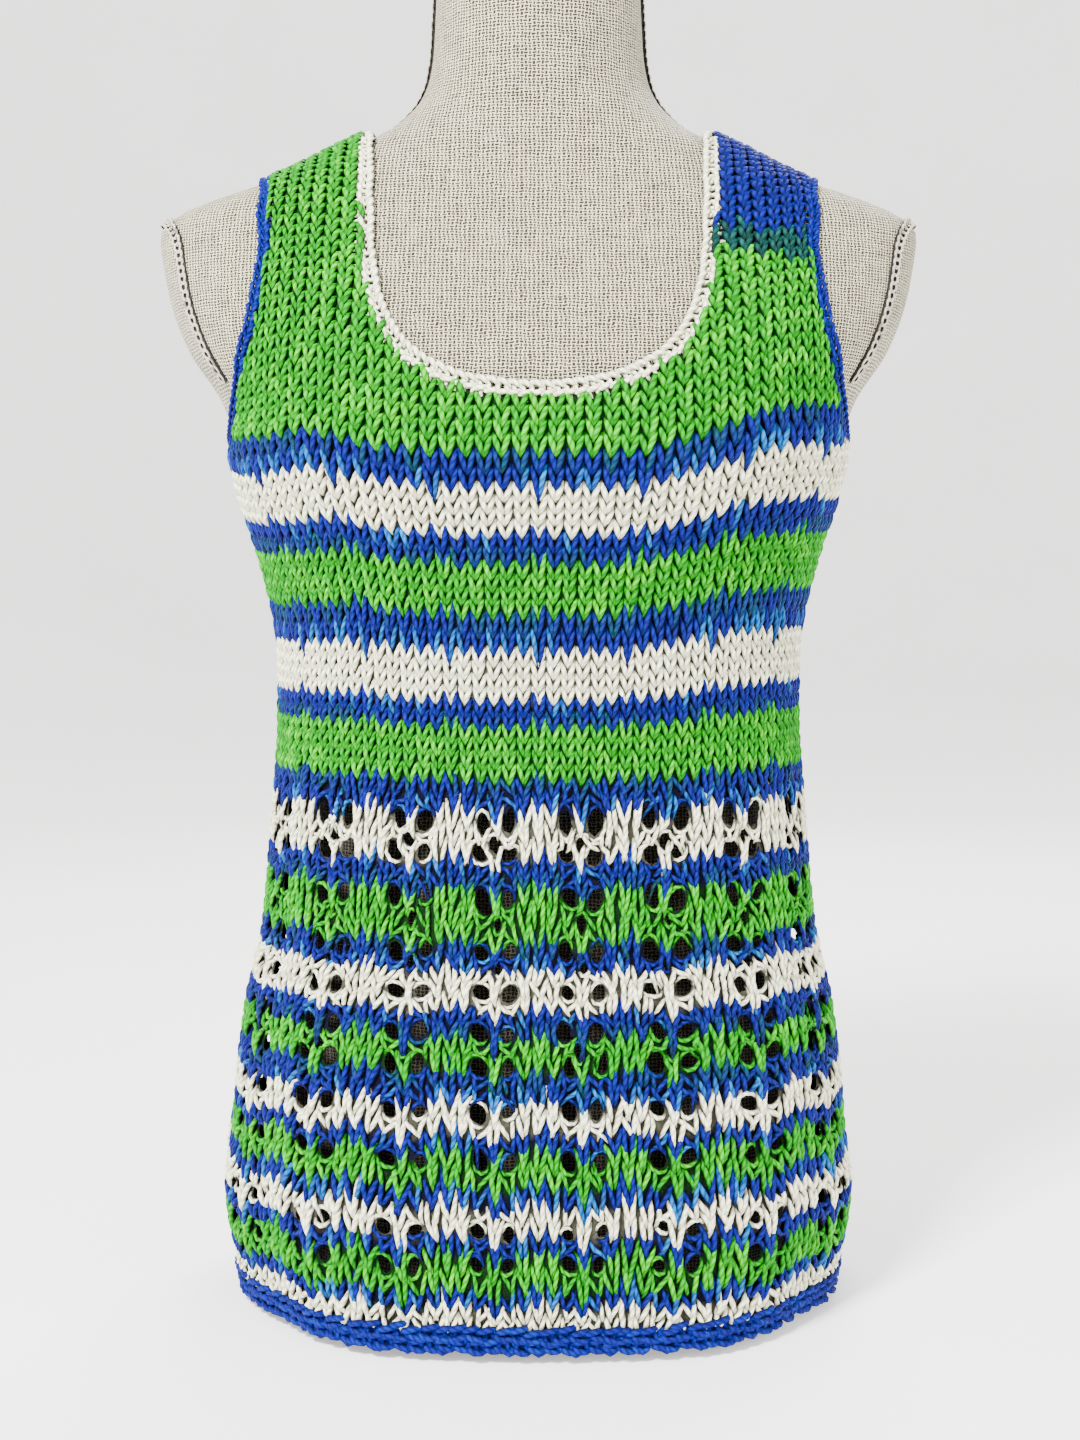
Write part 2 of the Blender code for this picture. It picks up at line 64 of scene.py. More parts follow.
lens = bpy.data.cameras.new("camera")
lens.sensor_width = 36.0
lens.lens = FOCAL_PIXELS / PHOTO_SIZE[1] * lens.sensor_width
lens.shift_x = (PHOTO_SIZE[0] / 2 - HORIZON_PIXELS[0]) / PHOTO_SIZE[1]
lens.shift_y = (HORIZON_PIXELS[1] - PHOTO_SIZE[1] / 2) / PHOTO_SIZE[1]
camera = bpy.data.objects.new("camera", lens)
camera.location = (0.0, -CAMERA_DISTANCE, CAMERA_HEIGHT)
camera.rotation_euler = (90 * DEGREE, 0, 0)
bpy.context.scene.collection.objects.link(camera)
bpy.context.scene.camera = camera
print("lens", round(lens.lens, 1), "mm")

# %% [markdown]
# ## The surface under the yarn
# A dress form is a stack of level sections. Each is a rounded oblong with its own half
# width, depth to the front, depth to the back, and squareness. Two short tables describe
# the form and how far the cloth hangs off it, and a third holds the largest folds. They
# repeat the part's own values, because this script can't read that file.

# %% Section tables
REST = 1.1 * MM
BUST = 0.4370
FORM_COLUMNS = ("height", "half_width", "front", "back", "power")
FORM_TABLE = (
    (0.0000, 0.1280, 0.0920, 0.1000, 2.30),
    (0.0500, 0.1370, 0.0980, 0.1060, 2.30),
    (0.1000, 0.1410, 0.1000, 0.1100, 2.30),
    (0.1500, 0.1375, 0.0980, 0.1060, 2.25),
    (0.1900, 0.1310, 0.0930, 0.0990, 2.20),
    (0.2400, 0.1265, 0.0870, 0.0880, 2.20),
    (0.2900, 0.1240, 0.0840, 0.0810, 2.20),
    (0.3350, 0.1270, 0.0880, 0.0840, 2.20),
    (0.3790, 0.1375, 0.0990, 0.0910, 2.25),
    (0.4105, 0.1490, 0.1130, 0.0980, 2.35),
    (0.4370, 0.1565, 0.1230, 0.1030, 2.50),
    (0.4610, 0.1654, 0.1200, 0.1070, 2.65),
    (0.4850, 0.1810, 0.1110, 0.1095, 2.90),
    (0.5085, 0.1905, 0.1000, 0.1095, 3.00),
    (0.5325, 0.1960, 0.0870, 0.1050, 2.95),
    (0.5465, 0.1980, 0.0800, 0.1000, 2.80),
    (0.5520, 0.1955, 0.0775, 0.0975, 2.70),
    (0.5575, 0.1880, 0.0750, 0.0945, 2.60),
    (0.5655, 0.1700, 0.0715, 0.0900, 2.45),
    (0.5764, 0.1373, 0.0670, 0.0835, 2.30),
    (0.5885, 0.1100, 0.0630, 0.0760, 2.20),
    (0.5965, 0.0920, 0.0610, 0.0715, 2.15),
    (0.6040, 0.0780, 0.0590, 0.0675, 2.10),
    (0.6120, 0.0686, 0.0580, 0.0645, 2.05),
    (0.6200, 0.0623, 0.0570, 0.0620, 2.00),
    (0.6300, 0.0580, 0.0560, 0.0595, 2.00),
    (0.6450, 0.0555, 0.0545, 0.0570, 2.00),
    (0.7000, 0.0530, 0.0520, 0.0540, 2.00),
)
ROOM_COLUMNS = ("height", "side", "front", "back")
ROOM_TABLE = (
    (0.0000, 0.0200, 0.0290, 0.0210),
    (0.0500, 0.0210, 0.0250, 0.0170),
    (0.0925, 0.0130, 0.0220, 0.0110),
    (0.1450, 0.0110, 0.0200, 0.0100),
    (0.1900, 0.0090, 0.0220, 0.0110),
    (0.2400, 0.0095, 0.0240, 0.0160),
    (0.2900, 0.0085, 0.0250, 0.0190),
    (0.3350, 0.0060, 0.0220, 0.0150),
    (0.3790, 0.0045, 0.0150, 0.0090),
    (0.4105, 0.0030, 0.0080, 0.0050),
    (0.4370, 0.0015, 0.0015, 0.0020),
    (0.4600, 0.0000, 0.0000, 0.0000),
    (0.7000, 0.0000, 0.0000, 0.0000),
)
FOLD_COLUMNS = ("angle", "height", "spread", "rise", "depth")
FOLD_TABLE = (
    (19.0, 0.105, 12.0, 0.060, 0.0110),
    (163.0, 0.070, 11.0, 0.034, 0.0110),
    (-33.0, 0.020, 12.0, 0.110, -0.0040),
    (-62.0, 0.020, 13.0, 0.130, 0.0035),
    (-120.0, 0.030, 13.0, 0.120, 0.0030),
    (-146.0, 0.020, 12.0, 0.120, -0.0045),
    (60.0, 0.020, 14.0, 0.140, 0.0040),
    (118.0, 0.030, 15.0, 0.120, 0.0040),
)
print(len(FORM_TABLE), "sections and", len(FOLD_TABLE), "folds")

# %% [markdown]
# ## From the tables to a surface
# Between two sections each size runs along a smooth curve that never overshoots, so no bulge
# appears that the tables don't hold. A point of a section is one short formula of its angle.
# The cloth is the same surface, moved out by its room and its folds. The last lines measure
# the bust, which should be near 0.9 m for a ladies' small size.

# %% Read the tables and place a point on a section
def table_column(columns, table, name):
    """One named column of a table, as an array."""
    return np.array([row[columns.index(name)] for row in table], dtype=float)


def smooth_through(xs, ys, x):
    """A smooth curve through the points that never overshoots them."""
    step = np.diff(xs)
    slope = np.diff(ys) / step
    grade = np.concatenate([slope[:1], np.zeros(len(slope) - 1), slope[-1:]])
    product = slope[:-1] * slope[1:]
    total = slope[:-1] + slope[1:]
    rising = product > 0
    grade[1:-1][rising] = 2 * product[rising] / total[rising]
    x = np.clip(x, xs[0], xs[-1])
    low = np.clip(np.searchsorted(xs, x, side="right") - 1, 0, len(step) - 1)
    share = (x - xs[low]) / step[low]
    rest = 1 - share
    return (ys[low] * rest * rest * (1 + 2 * share)
            + ys[low + 1] * share * share * (1 + 2 * rest)
            + step[low] * share * rest * (grade[low] * rest - grade[low + 1] * share))


def read_table(columns, table, height, names):
    """The named columns of a table at any heights."""
    heights = table_column(columns, table, "height")
    return [smooth_through(heights, table_column(columns, table, name), height) for name in names]


def form_sizes(height):
    """Half width, front depth, back depth and power of the form's section."""
    return read_table(FORM_COLUMNS, FORM_TABLE, height, FORM_COLUMNS[1:])


def cloth_sizes(height):
    """The same four sizes for the cloth that hangs round the form."""
    half_width, front, back, power = form_sizes(height)
    side, front_room, back_room = read_table(ROOM_COLUMNS, ROOM_TABLE, height, ROOM_COLUMNS[1:])
    return half_width + side, front + front_room, back + back_room, power


def on_section(sizes, angle, height):
    """Points of a level section at an angle that starts at +X and turns to +Y."""
    half_width, front, back, power = sizes
    cosine, sine = np.cos(angle), np.sin(angle)
    depth = np.where(sine < 0, front, back)
    x = half_width * np.sign(cosine) * np.abs(cosine) ** (2 / power)
    y = depth * np.sign(sine) * np.abs(sine) ** (2 / power)
    return np.stack([x, y, height + 0 * x], axis=-1)


def surface_frame(sizes_at, angle, height):
    """Points of a surface, and its outward normals, at angles and heights."""
    angle, height = np.broadcast_arrays(np.asarray(angle, float), np.asarray(height, float))
    turn, rise = 0.02, 0.001

    def spot(a, h):
        return on_section(sizes_at(h), a, h)

    around = spot(angle + turn, height) - spot(angle - turn, height)
    up = spot(angle, height + rise) - spot(angle, height - rise)
    normal = np.cross(around, up)
    normal /= np.linalg.norm(normal, axis=-1, keepdims=True)
    return spot(angle, height), normal


def fold_lift(angle, height):
    """How far the folds carry the cloth out, or in where negative."""
    angle, height = np.degrees(angle)[..., None], np.asarray(height)[..., None]
    columns = [table_column(FOLD_COLUMNS, FOLD_TABLE, name) for name in FOLD_COLUMNS]
    fold_angle, fold_height, spread, rise, depth = columns
    away = (angle - fold_angle + 180) % 360 - 180
    swell = np.exp(-(away / spread) ** 2 - ((height - fold_height) / rise) ** 2)
    return np.sum(depth * swell, axis=-1)


def cloth_frame(angle, height):
    """The cloth's inner surface, with its folds, and its normals."""
    base, normal = surface_frame(cloth_sizes, angle, height)
    return base + normal * (REST + fold_lift(angle, height))[..., None], normal


all_round = np.linspace(0, 2 * math.pi, 721)
bust, _ = cloth_frame(all_round, np.full_like(all_round, BUST))
bust_round = float(np.linalg.norm(np.diff(bust, axis=0), axis=1).sum())
print("bust round the cloth", round(bust_round, 3), "m")

# %% [markdown]
# ## Rows and stripes
# The stripes run in one order: green, blue, ivory, blue. A band has a whole number of rows,
# so one table of bands from the hem up gives each row its height and its dye. The rows dip
# at the front and climb to the sides under the arms, since the bust lifts them there.

# %% Bands from the hem up
# Height of a band's top edge, its rows, and its dye
BANDS = (
    (0.0262, 2, "ivory"),
    (0.0333, 1, "blue"),
    (0.0506, 2, "green"),
    (0.0584, 1, "blue"),
    (0.0722, 2, "ivory"),
    (0.0821, 1, "blue"),
    (0.0984, 2, "green"),
    (0.1065, 1, "blue"),
    (0.1207, 2, "ivory"),
    (0.1341, 2, "blue"),
    (0.1507, 2, "green"),
    (0.1633, 2, "blue"),
    (0.1818, 3, "ivory"),
    (0.1944, 2, "blue"),
    (0.2202, 3, "green"),
    (0.2331, 2, "blue"),
    (0.2564, 3, "ivory"),
    (0.2720, 2, "blue"),
    (0.2970, 4, "green"),
    (0.3093, 2, "blue"),
    (0.3330, 4, "ivory"),
    (0.3509, 2, "blue"),
    (0.3748, 4, "green"),
    (0.3892, 2, "blue"),
    (0.4112, 4, "ivory"),
    (0.4271, 2, "blue"),
)
KNIT_BOTTOM = 0.0150
LACE_TOP = 0.2720
YOKE_ROWS = 34
SHOULDER_CORNER = 0.5465
NECK_BASE = 0.6200
ROW_ABOVE_BUST = 6.6 * MM
# How far a bust row stands higher, by how far round the panel it is, on each side of the front
CLIMB_PLACES = (0.00, 0.20, 0.34, 0.49, 0.60, 0.72, 1.00)
FRONT_CLIMB = {
    "left": (0.000, 0.000, 0.0045, 0.0140, 0.0120, 0.0120, 0.0240),
    "right": (0.000, 0.000, 0.0105, 0.0245, 0.0290, 0.0300, 0.0380),
}
BACK_CLIMB = 0.0300
CLIMB_START, CLIMB_FULL, CLIMB_BEND = 0.240, 0.440, 1.3


def count_rows():
    """Heights of the row edges, and the dye of every row, from the hem up."""
    edges, dyes = [KNIT_BOTTOM], []
    for top, rows, dye in BANDS:
        edges += list(np.linspace(edges[-1], top, rows + 1)[1:])
        dyes += [dye] * rows
    return np.array(edges), dyes


ROW_EDGES, ROW_DYES = count_rows()
STRIPED_ROWS = len(ROW_DYES)
ROWS_IN_ALL = STRIPED_ROWS + YOKE_ROWS
ROW_DYES += ["green"] * YOKE_ROWS
LACE_ROWS = int(np.argmin(np.abs(ROW_EDGES - LACE_TOP)))


def row_climb(turn, height):
    """How far the sides lift a row, at a share of half the way round from the front."""
    place = np.minimum(np.abs(turn) * 2, 1)
    sides = {name: np.interp(place, CLIMB_PLACES, climbs) for name, climbs in FRONT_CLIMB.items()}
    front = np.where(turn < 0, sides["left"], sides["right"])
    far = np.clip(np.abs(turn) * 2 - 1, 0, 1)
    lift = front + (BACK_CLIMB - front) * far * far * (3 - 2 * far)
    share = np.clip((height - CLIMB_START) / (CLIMB_FULL - CLIMB_START), 0, 1)
    return lift * share ** CLIMB_BEND


print(STRIPED_ROWS, "striped rows, of which", LACE_ROWS, "in the openwork")

# %% [markdown]
# ## A map from stitches to space
# Knitting is a grid: columns of stitches run up, rows run round. Each panel gets a map
# whose corners lie every half stitch and every row. To place yarn, a position counted in
# stitches and rows is looked up in that map, so the yarn follows bust, waist and folds.
# Above the bust the columns run straight up and over the shoulder, as knitted straps do.

# %% Stitch map of a panel
PANEL_STITCHES = 54
HALF_PANEL = PANEL_STITCHES / 2
REPEAT = 6
MAP_REACH = HALF_PANEL + 1.5
MAP_STEP = 0.5
# How far the columns crowd towards the middle of the panel, by height
CROWD_HEIGHTS = (0.000, 0.120, 0.235, 0.300, BUST)
CROWD_SHARES = (0.20, 0.16, 0.10, 0.04, 0.00)
# How finely lengths are measured: round a section, over a shoulder, up a column
ROUND_SAMPLES, SHOULDER_SAMPLES, COLUMN_SAMPLES = 361, 400, 300
MAP_LEVELS = 80


def angles_along(shares, height, side):
    """Section angles of the stitch columns that lie at shares of half a panel."""
    beyond = np.abs(shares) > 1
    shares = np.where(beyond, np.sign(shares) * 2 - shares, shares)
    found = []
    for face in (side, -side):
        dense = np.linspace(math.pi, 0, ROUND_SAMPLES) * face
        points = on_section(cloth_sizes(np.full_like(dense, height)), dense, height)
        steps = np.linalg.norm(np.diff(points, axis=0), axis=1)
        length = np.concatenate([[0], np.cumsum(steps)])
        crowd = np.interp(height, CROWD_HEIGHTS, CROWD_SHARES)
        spread = shares - crowd * np.sin(math.pi * shares) / math.pi
        found.append(np.interp((spread + 1) / 2 * length[-1], length, dense))
    return np.where(beyond, found[1], found[0])


def shoulder_angle(x, height, face):
    """Section angle where a column that runs straight up crosses a height."""
    half_width, _, _, power = cloth_sizes(height)
    ratio = np.clip(np.abs(x) / half_width, 0, 1) ** (power / 2)
    return face * np.arccos(np.sign(x) * ratio)


def column_heights(x, turn, face):
    """Row-edge heights of one column, and how many rows reach the shoulder."""
    low = ROW_EDGES + row_climb(np.full_like(ROW_EDGES, turn), ROW_EDGES)
    ridge_search = np.linspace(SHOULDER_CORNER, NECK_BASE, SHOULDER_SAMPLES)
    top = np.interp(-abs(x), -cloth_sizes(ridge_search)[0], ridge_search)
    dense = low[-1] + (top - low[-1]) * (1 - (1 - np.linspace(0, 1, COLUMN_SAMPLES)) ** 2)
    points = on_section(cloth_sizes(dense), shoulder_angle(x, dense, face), dense)
    length = np.concatenate([[0], np.cumsum(np.linalg.norm(np.diff(points, axis=0), axis=1))])
    rows = np.arange(1, YOKE_ROWS + 1) * ROW_ABOVE_BUST
    high = np.interp(rows, length, dense)
    return np.concatenate([low, high]), STRIPED_ROWS + length[-1] / ROW_ABOVE_BUST


class StitchMap:
    """Positions and normals of one panel, looked up by stitch and row."""

    def __init__(self, side):
        self.side = side
        columns = np.arange(-MAP_REACH, MAP_REACH + MAP_STEP / 2, MAP_STEP)
        shares = columns / HALF_PANEL
        bust_angles = angles_along(shares, BUST, side)
        across = on_section(cloth_sizes(np.full(len(shares), BUST)), bust_angles, BUST)[:, 0]
        faces = np.where(np.abs(shares) > 1, -side, side)
        turns = shares / 2 if side < 0 else np.where(shares < 0, -1, 1) * (1 - np.abs(shares) / 2)
        heights, self.top_row = [], []
        for x, turn, face in zip(across, turns, faces):
            column, top_row = column_heights(x, turn, face)
            heights.append(column)
            self.top_row.append(top_row)
        heights = np.array(heights).T
        angles = np.zeros_like(heights)
        table = np.linspace(0, BUST, MAP_LEVELS)
        low_angles = np.array([angles_along(shares, height, side) for height in table])
        for number in range(len(columns)):
            low = np.interp(heights[:, number], table, low_angles[:, number])
            high = shoulder_angle(across[number], heights[:, number], faces[number])
            angles[:, number] = np.where(heights[:, number] <= BUST, low, high)
        self.points, self.normals = cloth_frame(angles, heights)
        self.columns, self.top_row = columns, np.array(self.top_row)

    def look(self, stitch, row, field):
        """A field of the map at any stitch and row, blended between its corners."""
        across = np.clip((stitch + MAP_REACH) / MAP_STEP, 0, len(self.columns) - 1.001)
        row = np.clip(row, 0, ROWS_IN_ALL - 0.001)
        i, j = np.floor(row).astype(int), np.floor(across).astype(int)
        s, t = (row - i)[..., None], (across - j)[..., None]
        near = field[i, j] * (1 - t) + field[i, j + 1] * t
        far = field[i + 1, j] * (1 - t) + field[i + 1, j + 1] * t
        return near * (1 - s) + far * s

    def place(self, stitch, row, lift):
        """Points that lie at a lift off the cloth's inner surface, and the normals there."""
        normal = self.look(stitch, row, self.normals)
        normal /= np.linalg.norm(normal, axis=-1, keepdims=True)
        return self.look(stitch, row, self.points) + normal * lift[..., None], normal


FRONT, BACK = StitchMap(-1), StitchMap(1)
print("map corners a panel", FRONT.points.shape[:2])

# %% [markdown]
# ## Where the cloth ends
# The neck and armholes are given as distance from the middle against height, for the front
# and for the back. A yarn leg is kept where its middle lies inside both lines.

# %% Neck and armhole lines
NECK_LINES = {
    -1: ((0.4523, 0.0000), (0.4540, 0.0215), (0.4592, 0.0430), (0.4700, 0.0625),
         (0.4860, 0.0757), (0.5050, 0.0832), (0.5270, 0.0872), (0.5480, 0.0885),
         (0.5640, 0.0890), (0.5750, 0.0896), (0.5840, 0.0905), (0.5905, 0.0912)),
    1: ((0.5600, 0.0000), (0.5620, 0.0480), (0.5690, 0.0760), (0.5805, 0.0880),
        (0.5900, 0.0908)),
}
NECK_TOP = 0.5965
ARMHOLE_LINE = (
    (0.4320, 0.1580), (0.4330, 0.1565), (0.4395, 0.1527), (0.4530, 0.1480), (0.4680, 0.1430),
    (0.4890, 0.1372), (0.5140, 0.1330), (0.5380, 0.1318), (0.5560, 0.1330), (0.5670, 0.1348),
    (0.5740, 0.1364), (0.5764, 0.1373),
)


def inside_cloth(points, side, margin):
    """Which points lie inside the neckline and the armholes, by more than a margin."""
    x, height = np.abs(points[..., 0]), points[..., 2]
    neck = np.array(NECK_LINES[side])
    neck_x = np.interp(height, neck[:, 0], neck[:, 1], left=-1.0)
    arm = np.array(ARMHOLE_LINE)
    arm_x = np.interp(height, arm[:, 0], arm[:, 1], left=1.0)
    below_neck = neck[0, 0] - height > margin
    return (below_neck | (x > neck_x + margin)) & (x < arm_x - margin)


print("neck lines have", [len(line) for line in NECK_LINES.values()], "points")

# %% [markdown]
# ## Holes of the openwork
# In each repeat the lace has a rib of three stitches, a gap, one stitch, and a gap. A gap
# column drops the stitch of certain rows. Hand knitting is never even, so every hole strays
# a little from its place and differs in size. The draws are seeded, so they never change.

# %% Rows and sizes of the holes
# Wanted height, half width in stitches, half height in rows; the largest match the solids
GAP_TABLE = (
    (0.0491, 0.44, 0.50),
    (0.0637, 0.44, 0.52),
    (0.0911, 0.48, 0.54),
    (0.1180, 0.52, 0.62),
    (0.1385, 0.50, 0.62),
    (0.1543, 0.52, 0.62),
    (0.1732, 0.54, 0.66),
    (0.1930, 0.52, 0.66),
    (0.2126, 0.54, 0.66),
    (0.2360, 0.54, 0.66),
    (0.2525, 0.58, 0.78),
)
EYE_TABLE = (
    (0.1453, 0.28, 0.46),
    (0.1825, 0.30, 0.48),
    (0.2030, 0.30, 0.48),
    (0.2447, 0.38, 0.60),
)
# Which columns of a repeat have gaps, and which the small eyes
GAP_PLACES, EYE_PLACES = (-2, 2), (3,)
HOLE_STARTS = range(-30, 31, REPEAT)
HOLE_SWAY, HOLE_SIZES = 0.13, (0.74, 1.18)
hole_rng = np.random.default_rng(11)


def hole_list():
    """The cell of each hole of a panel, and its uneven middle and half sizes."""
    holes = []
    row_middles = (ROW_EDGES[:-1] + ROW_EDGES[1:]) / 2
    for table, places in ((GAP_TABLE, GAP_PLACES), (EYE_TABLE, EYE_PLACES)):
        for height, half_width, half_height in table:
            row = int(np.argmin(np.abs(row_middles - height)))
            for column in [start + place for start in HOLE_STARTS for place in places]:
                if abs(column) > HALF_PANEL:
                    continue
                sway = hole_rng.normal(0, HOLE_SWAY, 2)
                size = hole_rng.uniform(*HOLE_SIZES, 2)
                holes.append((column, row + 0.5, column + sway[0], row + 0.5 + sway[1],
                              half_width * size[0], half_height * size[1]))
    return sorted(holes)


HOLES = hole_list()
DROPPED = {(hole[0], int(hole[1])) for hole in HOLES}
print(len(HOLES), "holes a panel")

# %% [markdown]
# ## How the knitting gives way to a hole
# A real hole draws its neighbours apart. Here the push is a smooth warp: what would lie in
# the hole moves out past its rim, and what is far away stays. The rows also wave, because
# the ribs hold them up and the single stitches between the gaps sag.

# %% Warp round the holes, and the wave of the rows
WARP_REACH, CELL_HALF = 2.1, 0.51
# Ribs stand higher and the single stitches hang lower, by the place in the repeat, in rows
SCALLOP = (0.22, 0.12, -0.05, -0.32, -0.05, 0.12, 0.22)
SCALLOP_FADE = 1.4


def round_holes(stitch, row, to_rim=False):
    """Move positions out of the holes: a smooth warp, or straight onto the rim."""
    stitch, row = np.array(stitch, dtype=float), np.array(row, dtype=float)
    moved_stitch, moved_row = stitch.copy(), row.copy()
    for cell_stitch, cell_row, hole_stitch, hole_row, half_width, half_height in HOLES:
        across = (stitch - hole_stitch) / half_width
        up = (row - hole_row) / half_height
        away = np.sqrt(across ** 2 + up ** 2) + 1e-6
        if to_rim:
            near = (np.abs(stitch - cell_stitch) < CELL_HALF) & (np.abs(row - cell_row) < CELL_HALF)
            scale = np.where(near, 1 / away, 1.0)
        else:
            near = away < WARP_REACH
            scale = np.where(near, (1 + away * (1 - 1 / WARP_REACH)) / away, 1.0)
        moved_stitch = np.where(near, hole_stitch + across * half_width * scale, moved_stitch)
        moved_row = np.where(near, hole_row + up * half_height * scale, moved_row)
    return moved_stitch, moved_row


def scallop(stitch, row):
    """Rows that wave up over the ribs and down between them, only in the openwork."""
    wave = np.interp(stitch % REPEAT, range(REPEAT + 1), SCALLOP)
    fade = np.clip(np.minimum(row, LACE_ROWS - row) / SCALLOP_FADE, 0, 1)
    return row + wave * fade


print("rows wave by", round(max(SCALLOP) - min(SCALLOP), 2), "of a row")

# %% [markdown]
# ## Yarn
# The cotton is three plies twisted together. One leg of a stitch is a short tube along a
# curved middle line. It could be a curve object with a bevel, but there are thousands of
# legs, so they are joined in one mesh with array maths, which is far quicker. First come
# the helpers that turn arrays into a mesh and store a colour at each of its points.

# %% Meshes from arrays
def link_mesh(name, points, quads):
    """A smooth mesh object from arrays of points and four-cornered faces."""
    mesh = bpy.data.meshes.new(name)
    mesh.vertices.add(len(points))
    mesh.vertices.foreach_set("co", np.ascontiguousarray(points, dtype=np.float32).ravel())
    mesh.loops.add(quads.size)
    mesh.loops.foreach_set("vertex_index", np.ascontiguousarray(quads, dtype=np.int32).ravel())
    mesh.polygons.add(len(quads))
    mesh.polygons.foreach_set("loop_start", np.arange(0, quads.size, 4, dtype=np.int32))
    mesh.update(calc_edges=True)
    mesh.validate()
    mesh.shade_smooth()
    piece = bpy.data.objects.new(name, mesh)
    bpy.context.scene.collection.objects.link(piece)
    return piece


def add_colours(piece, colours):
    """Store a colour at each point, under the name dye; on the knitting it holds painted shade as
    well as dye.
    """
    layer = piece.data.color_attributes.new("dye", "FLOAT_COLOR", "POINT")
    rgba = np.concatenate([colours, np.ones((len(colours), 1))], axis=1)
    layer.data.foreach_set("color", rgba.astype(np.float32).ravel())


def triangles(piece):
    """How many triangles a piece has."""
    return sum(len(face.vertices) - 2 for face in piece.data.polygons)


print("a piece may have 200,000 triangles, and all of them together a million")

# %% [markdown]
# ## Tubes of yarn
# Six sides are enough for a tube of 3 mm, since smooth shading and the drawn twist hide its
# corners. The mesh carries each leg's dye, with any painted shade, as a colour, and a map of
# round-the-yarn and along-the-yarn, which the twist is drawn with.

# %% Tubes along many lines at once
YARN_SIDES = 6


def yarn_piece(name, lines, normals, radii, colours):
    """Tubes along lines of equal point counts, as one piece with colour and twist map; the colour
    is dye, with painted shade on the knitting.
    """
    count, rings = lines.shape[:2]
    tangent = np.gradient(lines, axis=1)
    tangent /= np.linalg.norm(tangent, axis=-1, keepdims=True)
    sideways = np.cross(tangent, normals)
    sideways /= np.linalg.norm(sideways, axis=-1, keepdims=True)
    upward = np.cross(sideways, tangent)
    turn = np.arange(YARN_SIDES) / YARN_SIDES * 2 * math.pi
    round_x = np.cos(turn)[None, None, :, None]
    round_y = np.sin(turn)[None, None, :, None]
    wide = radii[..., None, None]
    spokes = sideways[:, :, None] * round_x + upward[:, :, None] * round_y
    points = (lines[:, :, None] + wide * spokes).reshape(-1, 3)
    leg, step, corner = np.meshgrid(np.arange(count), np.arange(rings - 1), np.arange(YARN_SIDES),
                                    indexing="ij")
    start = (leg * rings + step) * YARN_SIDES
    following = (corner + 1) % YARN_SIDES
    quads = np.stack([start + corner, start + following, start + YARN_SIDES + following,
                      start + YARN_SIDES + corner], axis=-1).reshape(-1, 4)
    piece = link_mesh(name, points, quads)
    add_colours(piece, np.repeat(colours.reshape(-1, 3), YARN_SIDES, axis=0))
    lengths = np.linalg.norm(np.diff(lines, axis=1), axis=-1)
    along = np.concatenate([np.zeros((count, 1)), np.cumsum(lengths, axis=1)], axis=1) / MM
    low, high = along[leg, step], along[leg, step + 1]
    u0, u1 = corner / YARN_SIDES, (corner + 1) / YARN_SIDES
    uv = np.stack([np.stack([u0, low], -1), np.stack([u1, low], -1),
                   np.stack([u1, high], -1), np.stack([u0, high], -1)], axis=3)
    layer = piece.data.uv_layers.new(name="twist")
    layer.data.foreach_set("uv", uv.astype(np.float32).ravel())
    return piece


print("tubes have", YARN_SIDES, "sides")

# %% [markdown]
# ## Dyes
# The yarn changes shade along its length. Where blue meets ivory it shows sky-blue
# flecks, and where blue meets green it runs to a dark teal, so those rows mix dyes.

# %% Dye of each stitch
DYES = {
    "green": (0.002, 0.300, 0.000),
    "lime": (0.060, 0.640, 0.000),
    "blue": (0.000, 0.005, 0.185),
    "ivory": (1.000, 0.970, 0.680),
    "sky": (0.000, 0.200, 0.540),
    "teal": (0.000, 0.050, 0.042),
    "royal": (0.000, 0.013, 0.235),
}
# The dye that flecks a row, and how often, by the row's own dye and what it lies beside
FLECKS = {
    "green": ("lime", 0.35),
    "ivory": ("ivory", 0.30),
    "blue over ivory": ("sky", 0.34),
    "blue under ivory": ("sky", 0.14),
    "blue beside green": ("teal", 0.55),
    "blue": ("royal", 0.30),
}
FLECK_STRENGTH, SHADE_SPREAD = (0.35, 1.0), 0.07
FLECK_FOOT, FLECK_CLIMB = 0.1, 1.1
# The right strap turns teal, then blue, above these heights, and both shoulders behind turn blue
STRAP_TEAL, STRAP_BLUE, BACK_SHOULDER = 0.5270, 0.5420, 0.5740
STRAP_WANDER = 2.5 * MM
TEAL_SHADES, BLUE_SHADES = (0.7, 1.5), (0.8, 1.25)
rng = np.random.default_rng(7)


def row_dye(row):
    """Main dye and fleck dye of a row, with how often the fleck shows."""
    dye = place = ROW_DYES[row]
    below, above = ROW_DYES[max(row - 1, 0)], ROW_DYES[min(row + 1, ROWS_IN_ALL - 1)]
    if dye == "blue" and below == "ivory":
        place = "blue over ivory"
    elif dye == "blue" and above == "ivory":
        place = "blue under ivory"
    elif dye == "blue" and "green" in (below, above):
        place = "blue beside green"
    return dye, *FLECKS[place]


def dye_legs(rows, rings):
    """A colour for every ring of every leg."""
    colours = np.zeros((len(rows), rings, 3))
    climb = np.linspace(0, 1, rings)[None, :, None]
    for row in np.unique(rows):
        chosen = np.flatnonzero(rows == row)
        main, fleck, chance = row_dye(int(np.clip(row, 0, ROWS_IN_ALL - 1)))
        mixed = (rng.random(len(chosen)) < chance) * rng.uniform(*FLECK_STRENGTH, len(chosen))
        upward = (rng.random(len(chosen)) < 0.5)[:, None, None]
        toward = np.where(upward, climb, 1 - climb)
        share = mixed[:, None, None] * np.clip(FLECK_FOOT + FLECK_CLIMB * toward, 0, 1)
        colours[chosen] = np.array(DYES[main]) * (1 - share) + np.array(DYES[fleck]) * share
    shade = rng.normal(1.0, SHADE_SPREAD, (len(rows), 1, 1))
    return np.clip(colours * shade, 0, 1)


